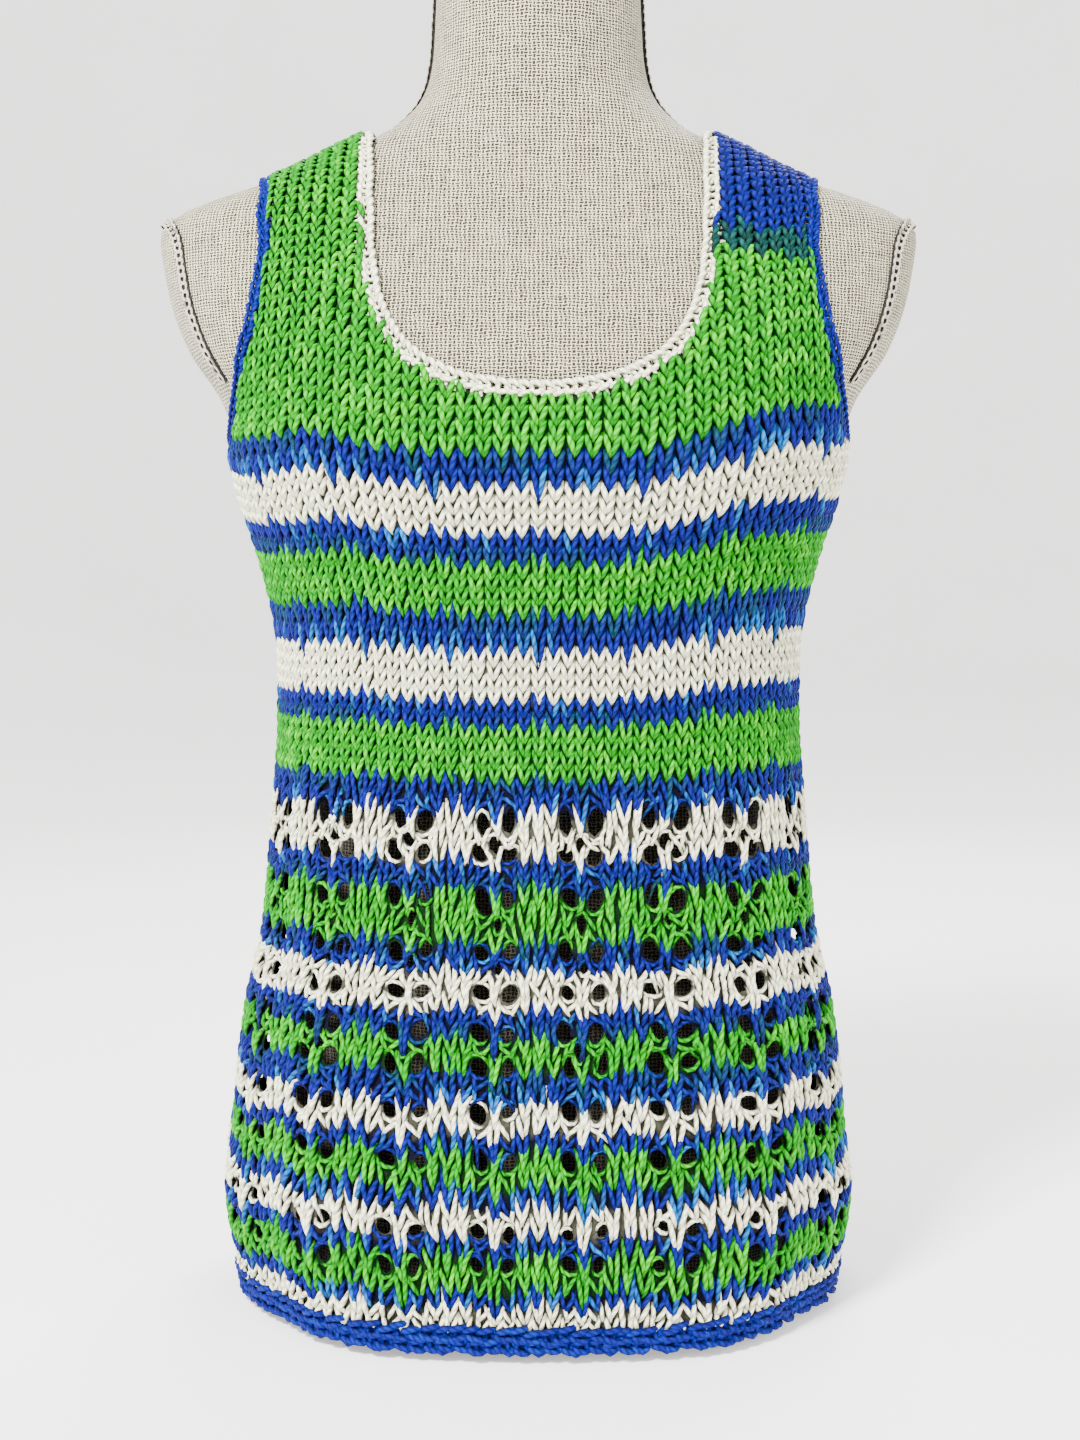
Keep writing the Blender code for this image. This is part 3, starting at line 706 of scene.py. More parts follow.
def dye_straps(colours, middle, side):
    """Dye the legs of the shoulders where the yarn runs from green to blue."""
    height = middle[:, 2] + rng.normal(0, STRAP_WANDER, len(middle))
    right = middle[:, 0] > 0
    teal = (side < 0) & right & (height > STRAP_TEAL)
    blue = ((side < 0) & right & (height > STRAP_BLUE)) | ((side > 0) & (height > BACK_SHOULDER))
    colours[teal] = np.array(DYES["teal"]) * rng.uniform(*TEAL_SHADES, (int(teal.sum()), 1, 1))
    colours[blue] = np.array(DYES["blue"]) * rng.uniform(*BLUE_SHADES, (int(blue.sum()), 1, 1))
    return colours


print("dyes", list(DYES))

# %% [markdown]
# ## The stitches
# A knit stitch shows as a V. Its two legs start together low in the middle, swell as they
# come forward, lean outward, and dive behind the stitch above. One table gives that leg
# in row heights and stitch widths, and it serves every stitch.

# %% The shape of a leg
LEG_COLUMNS = ("rise", "reach", "lift", "girth")
LEG_TABLE = (
    (-0.86, 0.005, 0.42, 0.40),
    (-0.44, 0.105, 0.78, 0.92),
    (0.00, 0.235, 0.82, 1.06),
    (0.44, 0.360, 0.54, 0.92),
    (0.86, 0.465, -0.04, 0.40),
)
# Painted shade: a leg's rings are darker toward its ends, where it dives behind its neighbours and
# lies in their shade
LEG_SHADES = (0.16, 0.80, 1.00, 0.84, 0.12)
YARN_RADIUS_SHARE = 0.187
LEG_RINGS = len(LEG_TABLE)
RISE, REACH, LIFT, GIRTH = [table_column(LEG_COLUMNS, LEG_TABLE, name) for name in LEG_COLUMNS]
# How a leg changes in the openwork, by its place in the repeat
LACE_COLUMNS = ("place", "narrow", "tall", "girth", "lean")
LACE_TABLE = (
    (0, 0.96, 1.12, 1.00, 0.00),
    (1, 0.98, 1.06, 0.98, 0.08),
    (2, 1.06, 0.98, 0.88, 0.24),
    (3, 1.06, 1.04, 0.98, 0.00),
    (4, 1.06, 0.98, 0.88, -0.24),
    (5, 0.98, 1.06, 0.98, -0.08),
)
print("a leg has", LEG_RINGS, "rings")

# %% [markdown]
# ## Which stitches there are
# Slipped stitches, once in each repeat where the dye changes, stretch over two rows and make
# the spikes. In the openwork some stitches are dropped, the single stitches hang down past
# their row, and two strands cross over and under each hole as its rim.

# %% Lists of stitches and rims
RIB_MIDDLE, LACE_MIDDLE = 0, 3
# How far a slipped stitch and the openwork's single stitches reach past their row
LACE_RISE, SINGLE_HANG = 0.55, 0.50
# The part of a half turn that a rim strand spans, its tilt, its size, and how far off its row is
RIM_ARC, RIM_TILT, RIM_SIZES, RIM_ROW = (0.10, 0.90), 0.28, (1.16, 1.42), 0.6


def slip_stretches(row, place, in_lace):
    """How far a slipped stitch reaches up and down, in rows, and whether it lies behind."""
    if place != RIB_MIDDLE or row + 1 >= STRIPED_ROWS:
        return 0.0, 0.0, 0.0
    below, here, above = ROW_DYES[max(row - 1, 0)], ROW_DYES[row], ROW_DYES[row + 1]
    if in_lace:
        return (LACE_RISE if above != here else 0.0), 0.0, 0.0
    hangs_above = here == "ivory" and above == "blue"
    hangs_here = below == "ivory" and here == "blue"
    behind = hangs_above or (here != below and not hangs_here)
    up = 1.0 if above != here and not hangs_above else 0.0
    return up, 1.0 if hangs_here else 0.0, float(behind)


def stitch_list(first_row, last_row, side):
    """Stitch, row, upward and downward stretch, and whether it lies behind, of each stitch."""
    found = []
    edge = int(HALF_PANEL)
    columns = range(-edge + 1, edge + 1) if side < 0 else range(-edge, edge)
    for row in range(first_row, last_row):
        in_lace = row < LACE_ROWS
        for stitch in columns:
            place = stitch % REPEAT
            up, down, behind = slip_stretches(row, place, in_lace)
            if in_lace and (stitch, row) in DROPPED:
                continue
            if in_lace and place == LACE_MIDDLE and ROW_DYES[max(row - 1, 0)] != ROW_DYES[row]:
                down = SINGLE_HANG
            found.append((stitch, row, up, down, behind))
    return np.array(found, dtype=float)


def rim_strands(first_row, last_row, side):
    """Strands that lie over and under each hole, as stitch and row positions."""
    turns = np.linspace(*RIM_ARC, LEG_RINGS) * math.pi
    across, up, rows = [], [], []
    for cell_stitch, _, stitch, row, half_width, half_height in HOLES:
        if not first_row <= row < last_row or abs(cell_stitch) > HALF_PANEL - (side > 0):
            continue
        for way in (1, -1):
            tilt, grow = rng.normal(0, RIM_TILT), rng.uniform(*RIM_SIZES)
            across.append(stitch + np.cos(turns + tilt) * half_width * grow)
            up.append(row + way * np.sin(turns + tilt) * half_height * grow)
            rows.append(int(row + way * RIM_ROW))
    return np.array(across), np.array(up), np.array(rows)


print(len(stitch_list(0, ROWS_IN_ALL, FRONT.side)), "stitches on the front before it is shaped")

# %% [markdown]
# ## From stitches to yarn
# Each stitch gives two mirrored legs. They are placed by stitch and row, pushed out of the
# holes, waved, and only then looked up on the cloth's surface. Legs outside the neckline or
# the armholes are left out. Each panel is three pieces, so that none is too large.

# %% Lay and dye the legs
EDGE_OVERLAP, TOP_OVERLAP = -1.3 * MM, 0.2
BEHIND_DROP, STRETCH_SHARE = 0.55, 1.15
CLOTH_LIFT, LIFT_SPREAD, GIRTH_SPREAD = 0.35 * MM, 0.14 * MM, 0.035
# How far legs stray from their place, in stitches and rows, and how much they lean
LACE_STRAY, PLAIN_STRAY, RING_STRAY, LEAN_SPREAD = 0.085, 0.030, 0.4, 0.14
# Girth and lift along a strand that borders a hole
RIM_GIRTHS = (0.45, 0.75, 0.85, 0.75, 0.45)
RIM_LIFTS = (0.15, 0.40, 0.48, 0.40, 0.15)


def leg_positions(stitches, in_lace):
    """Where every leg's rings lie, in stitches and rows, how thick and how proud they are."""
    column, row, up, down, behind = [np.repeat(values, 2)[:, None] for values in stitches.T]
    hand = np.tile([-1.0, 1.0], len(stitches))[:, None]
    wobble = LACE_STRAY if in_lace else PLAIN_STRAY
    shift = rng.normal(0, wobble, (len(column), 2, 1))
    rise = (RISE[None] + np.maximum(RISE[None], 0) * up * STRETCH_SHARE
            + np.minimum(RISE[None], 0) * down * STRETCH_SHARE)
    reach = np.broadcast_to(REACH[None], rise.shape)
    girth = np.broadcast_to(GIRTH[None], rise.shape)
    lean = np.zeros_like(column)
    if in_lace:
        place = (column[:, 0] % REPEAT).astype(int)
        change = {name: table_column(LACE_COLUMNS, LACE_TABLE, name)[place][:, None]
                  for name in LACE_COLUMNS}
        rise, reach = rise * change["tall"], reach * change["narrow"]
        girth = girth * change["girth"]
        lean = change["lean"] + rng.normal(0, LEAN_SPREAD, column.shape)
    rise = rise + shift[:, 0] + rng.normal(0, wobble * RING_STRAY, rise.shape)
    stitch_at = column + hand * reach + lean * rise + shift[:, 1]
    return stitch_at, row + 0.5 + rise, girth, LIFT[None] * (1 - BEHIND_DROP * behind)


def knit_piece(name, panel, first_row, last_row):
    """The yarn of some rows of a panel, as one piece."""
    in_lace = first_row < LACE_ROWS
    stitches = stitch_list(first_row, last_row, panel.side)
    stitch_at, row_at, girth, lifts = leg_positions(stitches, in_lace)
    dye_rows = np.repeat(stitches[:, 1], 2).astype(int)
    if in_lace:
        stitch_at, row_at = round_holes(stitch_at, row_at)
        across, up, rows = rim_strands(first_row, last_row, panel.side)
        stitch_at, row_at = np.concatenate([stitch_at, across]), np.concatenate([row_at, up])
        girth = np.concatenate([girth, np.tile(RIM_GIRTHS, (len(rows), 1))])
        lifts = np.concatenate([lifts, np.tile(RIM_LIFTS, (len(rows), 1))])
        dye_rows = np.concatenate([dye_rows, rows])
        row_at = scallop(stitch_at, row_at)
    middle = stitch_at.mean(axis=1, keepdims=True), row_at.mean(axis=1, keepdims=True)
    width = np.linalg.norm(panel.look(middle[0] + 0.5, middle[1], panel.points)
                           - panel.look(middle[0] - 0.5, middle[1], panel.points), axis=-1)
    radius = width * YARN_RADIUS_SHARE
    lift = radius * 2 * lifts + CLOTH_LIFT + rng.normal(0, LIFT_SPREAD, (len(lifts), 1))
    lines, normals = panel.place(stitch_at, row_at, lift)
    middles = lines[:, LEG_RINGS // 2]
    keep = inside_cloth(middles, panel.side, EDGE_OVERLAP)
    top_row = np.interp(middle[0][:, 0], panel.columns, panel.top_row)
    keep &= middle[1][:, 0] < top_row + TOP_OVERLAP
    radii = radius * girth * rng.normal(1.0, GIRTH_SPREAD, (len(girth), 1))
    colours = dye_straps(dye_legs(dye_rows, LEG_RINGS), middles, panel.side)
    # Painted shade: the rings' colours are darkened by LEG_SHADES toward the leg's ends
    colours = colours * np.array(LEG_SHADES)[None, :, None]
    piece = yarn_piece(name, lines[keep], normals[keep], radii[keep], colours[keep])
    print(name, int(keep.sum()), "legs and strands,", triangles(piece), "triangles")
    return piece


PANEL_NAMES = {"front": FRONT, "back": BACK}
YARN_ZONES = (("lace", 0, LACE_ROWS), ("bodice", LACE_ROWS, STRIPED_ROWS),
              ("yoke", STRIPED_ROWS, ROWS_IN_ALL))
knit_pieces = {}
for panel_name, panel in PANEL_NAMES.items():
    for zone, first_row, last_row in YARN_ZONES:
        piece_name = f"{panel_name}_{zone}_yarn"
        knit_pieces[piece_name] = knit_piece(piece_name, panel, first_row, last_row)

# %% [markdown]
# ## The backs of the loops
# Behind the V legs, the loops join into a closed cloth. A thin sheet of the same dyes lies
# there, painted dark as the shade between the legs, with the same holes, and stops one from
# seeing between the legs to the form.

# %% Ground sheet of each panel
GROUND_LIFT = 1.0 * MM
GROUND_ROW_STEP = 0.5
# Painted shade: the ground sheet's colour is its dye darkened to these shares, as the shade between
# the legs
GROUND_SHADE, LACE_GROUND_SHADE = 0.07, 0.05


def ground_sheet(name, panel):
    """A sheet behind the legs of one panel, open at the holes, neck and armholes."""
    columns = np.arange(-HALF_PANEL, HALF_PANEL + 0.01, MAP_STEP)
    rows = np.arange(0, ROWS_IN_ALL + 0.01, GROUND_ROW_STEP)
    column, row = np.meshgrid(columns, rows)
    top_row = np.interp(columns, panel.columns, panel.top_row)[None]
    row_at = np.minimum(row, top_row)
    low = row_at < LACE_ROWS + 2
    moved = round_holes(column, row_at, to_rim=True)
    column_at = np.where(low, moved[0], column)
    row_at = scallop(column_at, np.where(low, moved[1], row_at))
    points, _ = panel.place(column_at, row_at, np.full(column.shape, GROUND_LIFT))
    across = len(columns)
    i, j = np.meshgrid(np.arange(len(rows) - 1), np.arange(across - 1), indexing="ij")
    middle_column = (columns[:-1] + columns[1:])[None] / 2 + 0 * i
    middle_row = (rows[:-1] + rows[1:])[:, None] / 2 + 0 * i
    open_cell = np.zeros(i.shape, dtype=bool)
    for stitch, hole_row in [hole[:2] for hole in HOLES]:
        open_cell |= (np.abs(middle_column - stitch) < 0.5) & (np.abs(middle_row - hole_row) < 0.5)
    centres, _ = panel.place(middle_column, middle_row, np.zeros(i.shape))
    keep = inside_cloth(centres, panel.side, 0.0) & ~open_cell
    keep &= middle_row < np.interp(middle_column, panel.columns, panel.top_row)
    corner = i * across + j
    quads = np.stack([corner, corner + 1, corner + across + 1, corner + across], axis=-1)[keep]
    used, compact = np.unique(quads, return_inverse=True)
    piece = link_mesh(name, points.reshape(-1, 3)[used], compact.reshape(-1, 4))
    shades = np.array([DYES[ROW_DYES[int(min(value, ROWS_IN_ALL - 1))]] for value in row.ravel()])
    shades = dye_straps(shades[:, None], points.reshape(-1, 3), panel.side)[:, 0]
    # Painted shade: the sheet's dye is darkened, more in the openwork, as the shade between the
    # legs
    depth = np.where(row.ravel()[used] < LACE_ROWS, LACE_GROUND_SHADE, GROUND_SHADE)
    add_colours(piece, shades[used] * depth[:, None])
    print(name, triangles(piece), "triangles")
    return piece


grounds = {name: ground_sheet(f"{name}_ground", panel) for name, panel in PANEL_NAMES.items()}

# %% [markdown]
# ## Crocheted edges
# The neck, armholes and hem are crocheted. Seen from outside, crochet is a chain of Vs that
# lie along the edge, over slanted posts that reach into the knitting. The same tubes
# serve: only the line that the Vs follow, and the table of posts, are new. A path knows at
# each length where it is, which way is out of the cloth, and which way is across the edge.

# %% A path with its own directions
def closed_spline(rows, samples_per_span):
    """A smooth closed curve through rows of angle and height."""
    rows = np.array(rows, dtype=float)
    turns = np.round((rows[0, 0] - rows[-1, 0]) / 360) * 360
    count = len(rows)
    shift = np.array([turns, 0.0])
    found = []
    for number in range(count):
        corners = []
        for offset in (-1, 0, 1, 2):
            lap, place = divmod(number + offset, count)
            corners.append(rows[place] - lap * shift)
        a, b, c, d = corners
        for t in np.arange(samples_per_span) / samples_per_span:
            found.append(0.5 * (2 * b + (c - a) * t + (2 * a - 5 * b + 4 * c - d) * t ** 2
                                + (3 * b - a - 3 * c + d) * t ** 3))
    return np.array(found)


def section_rows(line):
    """An edge line's rows as degrees round the section from the side, and height."""
    rows = []
    for height, x in line:
        half_width, _, _, power = cloth_sizes(np.array(height))
        rows.append((math.degrees(math.acos(min(1, x / half_width) ** (power / 2))), height))
    return rows


class EdgePath:
    """Points, outward normals and across directions along a line, by length."""

    def __init__(self, points, normals, toward, closed):
        if closed:
            points = np.concatenate([points, points[:1]])
            normals = np.concatenate([normals, normals[:1]])
        tangents = np.gradient(points, axis=0)
        if closed:
            tangents[0] = tangents[-1] = points[1] - points[-2]
        across = np.cross(tangents, normals)
        across /= np.linalg.norm(across, axis=1, keepdims=True)
        if toward is not None:
            across *= np.sign(np.sum(across * (np.array(toward) - points), axis=1, keepdims=True))
        steps = np.linalg.norm(np.diff(points, axis=0), axis=1)
        self.length_at = np.concatenate([[0], np.cumsum(steps)])
        self.length, self.closed = self.length_at[-1], closed
        self.points, self.normals, self.across = points, normals, across

    def look(self, length, field):
        """A field at lengths along the path."""
        length = length % self.length if self.closed else np.clip(length, 0, self.length)
        columns = [np.interp(length, self.length_at, field[:, axis]) for axis in range(3)]
        return np.stack(columns, axis=-1)

    def place(self, length, out, lift):
        """Points at a length along, a distance across, and a lift off the surface."""
        normals = self.look(length, self.normals)
        normals /= np.linalg.norm(normals, axis=-1, keepdims=True)
        points = self.look(length, self.points) + self.look(length, self.across) * out[..., None]
        return points + normals * lift[..., None], normals


print("a path gives points and their outward normals")

# %% [markdown]
# ## The neckline, the armholes and the hem as paths
# The neck and armhole lines already say where the cloth ends, so the paths follow them,
# once round. The hem's paths are level lines round the cloth with its folds.

# %% Paths of the edges
SPLINE_STEPS = 6
NECK_CENTRE, ARM_CENTRE = (0, 0, 0.66), (0.25, 0, 0.50)
BELOW_HEM = (0, 0, -10)
HEM_PROUD, HEM_SAMPLES = 1.3 * MM, 91


def neck_path():
    """The neckline, once round."""
    front, back = section_rows(NECK_LINES[-1])[::-1], section_rows(NECK_LINES[1])[::-1]
    rows = [(0.0, NECK_TOP)]
    rows += [(-angle, height) for angle, height in front[:-1]]
    rows += [(-90.0, front[-1][1])]
    rows += [(-180.0 + angle, height) for angle, height in reversed(front[:-1])]
    rows += [(-180.0, NECK_TOP)]
    rows += [(-180.0 - angle, height) for angle, height in back[:-1]]
    rows += [(-270.0, back[-1][1])]
    rows += [(-360.0 + angle, height) for angle, height in reversed(back[:-1])]
    curve = closed_spline(rows, SPLINE_STEPS)
    points, normals = surface_frame(cloth_sizes, curve[:, 0] * DEGREE, curve[:, 1])
    return EdgePath(points, normals, NECK_CENTRE, True)


def armhole_path(flip):
    """One armhole, once round from the underarm."""
    side = section_rows(ARMHOLE_LINE[1:-1])
    front = [(-angle, height) for angle, height in side]
    back = [(angle, height) for angle, height in reversed(side)]
    rows = [(0.0, ARMHOLE_LINE[0][0])] + front + [(0.0, ARMHOLE_LINE[-1][0])] + back
    curve = closed_spline(rows, SPLINE_STEPS)
    points, normals = surface_frame(cloth_sizes, curve[:, 0] * DEGREE, curve[:, 1])
    turned = np.array([flip, 1.0, 1.0])
    return EdgePath(points * turned, normals * turned, np.array(ARM_CENTRE) * turned, True)


def hem_path(height):
    """A level line round the cloth, a little outside its inner surface."""
    angles = []
    for side in (-1, 1):
        angles.append(angles_along(np.linspace(-1, 1, HEM_SAMPLES)[:-1] * -side, height, side))
    angles = np.concatenate(angles)
    points, normals = cloth_frame(angles, np.full(len(angles), height))
    points = points + normals * HEM_PROUD
    points[:, 2] = height
    return EdgePath(points, normals, BELOW_HEM, True)


paths = {"neck": neck_path(), "left": armhole_path(-1.0), "right": armhole_path(1.0)}
print({name: round(path.length, 3) for name, path in paths.items()})

# %% [markdown]
# ## Chains and posts
# A crochet row is laid by table too: each leg is given along the edge in pitches, across it
# in shares of the row's width, and as a lift. The chain has two mirrored legs, a post has
# one, and a core is a plain strand that fills the row from behind.

# %% Lay crochet along a path
CHAIN_COLUMNS = ("along", "out", "lift", "girth")
CHAIN_TABLE = (
    (-0.55, 0.10, 0.30, 0.60),
    (-0.20, 0.28, 0.90, 1.00),
    (0.20, 0.42, 1.05, 1.05),
    (0.55, 0.48, 0.80, 0.95),
    (0.90, 0.42, 0.20, 0.55),
)
POST_TABLE = (
    (-0.30, -1.70, 0.35, 0.60),
    (-0.10, -1.10, 0.75, 0.90),
    (0.05, -0.50, 0.80, 1.00),
    (0.25, 0.05, 0.65, 1.00),
    (0.40, 0.50, 0.30, 0.60),
)
CORE_TABLE = tuple((along, 0.00, 0.10, 1.00) for along in (-0.60, -0.30, 0.00, 0.30, 0.60))
ONE_LEG, MIRRORED = (1,), (-1, 1)
LEG_SHADE_SPREAD = 0.06
SWAY_ACROSS, SWAY_LIFT = 0.6, 0.5


def lay_legs(path, table, pitch, width, radius, offset, hands, colours, sway):
    """Lines, normals, radii and colours of one leg of a table at every pitch."""
    count = int(round(path.length / pitch))
    pitch = path.length / count
    along, out, lift, girth = [table_column(CHAIN_COLUMNS, table, name) for name in CHAIN_COLUMNS]
    parts = []
    for hand in hands:
        start = (np.arange(count)[:, None] + 0.5) * pitch
        jitter = rng.normal(0, sway, (count, 3, 1))
        length = start + (along[None] + jitter[:, 0]) * pitch
        across = offset + hand * (out[None] + jitter[:, 1] * SWAY_ACROSS) * width
        rise = (lift[None] + jitter[:, 2] * SWAY_LIFT) * radius * 2
        lines, normals = path.place(length, across, rise)
        radii = np.broadcast_to(girth[None] * radius, (count, len(girth)))
        shade = rng.normal(1.0, LEG_SHADE_SPREAD, (count, 1, 1))
        main, fleck, chance = colours
        flecked = (rng.random(count) < chance)[:, None]
        base = np.where(flecked, np.array(DYES[fleck]), np.array(DYES[main]))
        dyed = np.clip(base[:, None] * shade, 0, 1).repeat(len(girth), 1)
        parts.append((lines, normals, radii, dyed))
    return parts


def crochet_piece(name, parts):
    """All laid legs of an edging as one piece."""
    lines, normals, radii, colours = [np.concatenate([part[k] for part in parts]) for k in range(4)]
    piece = yarn_piece(name, lines, normals, radii, colours)
    print(name, triangles(piece), "triangles")
    return piece


print("a chain link has", len(CHAIN_TABLE), "rings a leg")

# %% [markdown]
# ## Neck and armhole edgings
# The neck has an ivory chain with posts, through which a little of what lies below shows.
# The armholes' blue edging is denser, so core strands fill it.

# %% Edgings of the neck and armholes
NECK_WIDTH, ARM_WIDTH = 6.4 * MM, 5.0 * MM
EDGE_GAP = 0.7 * MM
CHAIN_PITCH, POST_PITCH, CORE_PITCH = 5.4 * MM, 4.2 * MM, 9.2 * MM
# Radii as shares of the edging's width, and how far the posts reach
CHAIN_GIRTH, POST_GIRTH, CORE_GIRTH = 0.235, 0.20, 0.28
POST_WIDTH = 0.72
CHAIN_SWAY, POST_SWAY, NO_SWAY = 0.03, 0.05, 0.0
IVORY_EDGE, BLUE_EDGE = ("ivory", "ivory", 0.0), ("blue", "royal", 0.30)


def edging(name, path, width, colours, filled):
    """A chain along an edge with posts that reach into the knitting."""
    middle = EDGE_GAP + width / 2
    parts = lay_legs(path, CHAIN_TABLE, CHAIN_PITCH, width, width * CHAIN_GIRTH, middle,
                     MIRRORED, colours, CHAIN_SWAY)
    parts += lay_legs(path, POST_TABLE, POST_PITCH, width * POST_WIDTH, width * POST_GIRTH,
                      middle, ONE_LEG, colours, POST_SWAY)
    if filled:
        parts += lay_legs(path, CORE_TABLE, CORE_PITCH, width, width * CORE_GIRTH, middle,
                          ONE_LEG, colours, NO_SWAY)
    return crochet_piece(name, parts)


neck_edge = edging("neck_chain", paths["neck"], NECK_WIDTH, IVORY_EDGE, False)
arm_edges = {name: edging(f"armhole_chain_{name}", paths[name], ARM_WIDTH, BLUE_EDGE, True)
             for name in ("left", "right")}

# %% [markdown]
# ## The hem
# The hem is a crocheted border about a centimetre deep: a course of upright posts between
# two chains, with a row of small bumps along the lower one. Core strands fill the border
# from behind, so that the form doesn't show through it. It is laid along level lines round
# the cloth, and its links are looser than the other edgings' links.

# %% Crocheted hem
HEM_LEVELS = {"upper": 13.6 * MM, "lower": 8.8 * MM}
HEM_CHAIN_PITCH, HEM_POST_PITCH, BUMP_PITCH = 7.0 * MM, 4.6 * MM, 15.5 * MM
HEM_WIDTH, BUMP_WIDTH = 6.0 * MM, 3.6 * MM
HEM_CORE_RADIUS, HEM_CHAIN_RADIUS, HEM_POST_RADIUS = 1.7 * MM, 1.65 * MM, 1.6 * MM
HEM_POST_PLACE, BUMP_PLACE = 3.0 * MM, 1.2 * MM
HEM_FILL = (-1.3 * MM, 1.3 * MM)
HEM_CHAIN_SWAY, HEM_POST_SWAY, BUMP_SWAY = 0.16, 0.12, 0.10
HEM_POST_TABLE = (
    (-0.45, -0.80, 0.20, 0.70),
    (-0.22, -0.40, 0.60, 1.00),
    (0.00, 0.00, 0.72, 1.05),
    (0.22, 0.40, 0.60, 1.00),
    (0.45, 0.80, 0.20, 0.70),
)
HEM_DYES = ("blue", "royal", 0.25)
BUMP_TABLE = (
    (-0.24, -0.10, 0.20, 0.70),
    (-0.14, 0.42, 0.60, 1.05),
    (0.00, 0.72, 0.70, 1.20),
    (0.14, 0.42, 0.60, 1.05),
    (0.24, -0.10, 0.20, 0.70),
)


def hem_piece():
    """Two filled chains, posts that join them, and a row of small bumps."""
    parts = []
    for name, level in HEM_LEVELS.items():
        path = hem_path(level)
        for fill in HEM_FILL:
            parts += lay_legs(path, CORE_TABLE, CORE_PITCH, HEM_WIDTH, HEM_CORE_RADIUS, fill,
                              ONE_LEG, HEM_DYES, NO_SWAY)
        parts += lay_legs(path, CHAIN_TABLE, HEM_CHAIN_PITCH, HEM_WIDTH, HEM_CHAIN_RADIUS, 0.0,
                          MIRRORED, HEM_DYES, HEM_CHAIN_SWAY)
        if name == "upper":
            parts += lay_legs(path, HEM_POST_TABLE, HEM_POST_PITCH, HEM_WIDTH, HEM_POST_RADIUS,
                              HEM_POST_PLACE, ONE_LEG, HEM_DYES, HEM_POST_SWAY)
        else:
            parts += lay_legs(path, BUMP_TABLE, BUMP_PITCH, BUMP_WIDTH, HEM_POST_RADIUS,
                              BUMP_PLACE, ONE_LEG, HEM_DYES, BUMP_SWAY)
    return crochet_piece("hem_chain", parts)


hem_edge = hem_piece()

# %% [markdown]
# ## The form
# The form is covered in a coarse linen. Its solid has few sides, so a smoother loft of the
# same sections replaces it. The loft carries a map in millimetres, round and up, so that
# the threads of the weave keep one size all over.

# %% Linen-covered form
FORM_AROUND, FORM_STEP = 120, 5.0 * MM
NECK_CUT, FORM_HEIGHT = 0.7000, 0.7030
SOFT_EDGE, NARROWING = 3.0 * MM, 0.97
CAP_SHARES = (0.93, 0.6, 0.3, 0.0)


def form_mesh():
    """A smooth loft of the form's sections, with a flat foot and a flat neck top."""
    angles = np.linspace(0, 2 * math.pi, FORM_AROUND + 1)
    heights = np.concatenate([np.arange(SOFT_EDGE, NECK_CUT, FORM_STEP), [NECK_CUT]])
    rings = [on_section(form_sizes(np.full(len(angles), height)), angles, height)
             for height in heights]
    foot, top = rings[0].copy(), rings[-1].copy()
    foot[:, :2] *= NARROWING
    foot[:, 2] = 0
    top[:, :2] *= NARROWING
    top[:, 2] = FORM_HEIGHT
    base = foot * [0.0, 0.0, 1.0]
    caps = [top * [share, share, 1.0] for share in CAP_SHARES]
    rings = np.array([base, foot] + rings + [top] + caps)
    # Lengths round each ring and up the front, both counted from the middle of the front
    front = FORM_AROUND * 3 // 4
    steps = np.linalg.norm(np.diff(rings, axis=1), axis=-1)
    around = np.concatenate([np.zeros((len(rings), 1)), np.cumsum(steps, axis=1)], axis=1)
    around -= around[:, front][:, None]
    rises = np.linalg.norm(np.diff(rings[:, front], axis=0), axis=1)
    along = np.concatenate([[0], np.cumsum(rises)])
    count = len(angles)
    i, j = np.meshgrid(np.arange(len(rings) - 1), np.arange(FORM_AROUND), indexing="ij")
    corner = (i * count + j).ravel()
    quads = np.stack([corner, corner + 1, corner + count + 1, corner + count], axis=-1)
    piece = link_mesh("form_cover", rings.reshape(-1, 3), quads)
    up = np.repeat(along[:, None], count, axis=1)
    uv = np.stack([around / MM, up / MM], axis=-1).reshape(-1, 2)
    layer = piece.data.uv_layers.new(name="twist")
    loops = np.zeros(len(piece.data.loops), dtype=np.int32)
    piece.data.loops.foreach_get("vertex_index", loops)
    layer.data.foreach_set("uv", uv[loops].astype(np.float32).ravel())
    return piece


form_cover = form_mesh()
print("form cover", triangles(form_cover), "triangles")

# %% [markdown]
# ## Chain braid
# A narrow braid covers the form's seams: up both sides of the neck, over the shoulders and
# round the arm plates. Close up it is a chain of pale loops over a dark middle, so it is
# laid like crochet: mirrored links on three thin dark strands.

# %% Braids on the form
NECK_BRAID_SPAN = (0.6045, 0.6960)
SHOULDER_BRAID_SPAN = (0.5741, 0.5590)
ARM_BRAID = (
    (26.0, 0.4660),
    (28.0, 0.4850),
    (28.5, 0.5085),
    (28.0, 0.5325),
    (25.0, 0.5445),
    (15.0, 0.5515),
)
ARM_BRAID_TOP = 0.5535
BRAID_STEPS = 8
DYES["thread"] = (0.62, 0.56, 0.46)
DYES["shade"] = (0.30, 0.26, 0.21)
DYES["core"] = (0.035, 0.028, 0.022)
LINK_TABLE = (
    (-0.62, 0.02, 0.45, 0.80),
    (-0.28, 0.24, 0.85, 1.00),
    (0.08, 0.35, 1.05, 1.05),
    (0.42, 0.26, 1.10, 1.00),
    (0.72, 0.03, 0.60, 0.80),
)


def braid_path(curve, flip):
    """A path on the form through rows of degrees and height."""
    rows = np.array(curve, dtype=float)
    place = np.arange(len(rows))
    dense = np.linspace(0, len(rows) - 1, BRAID_STEPS * (len(rows) - 1) + 1)
    angle = smooth_through(place, rows[:, 0], dense) * DEGREE
    height = smooth_through(place, rows[:, 1], dense)
    points, normals = surface_frame(form_sizes, angle, height)
    turned = np.array([flip, 1.0, 1.0])
    return EdgePath(points * turned, normals * turned, None, False)


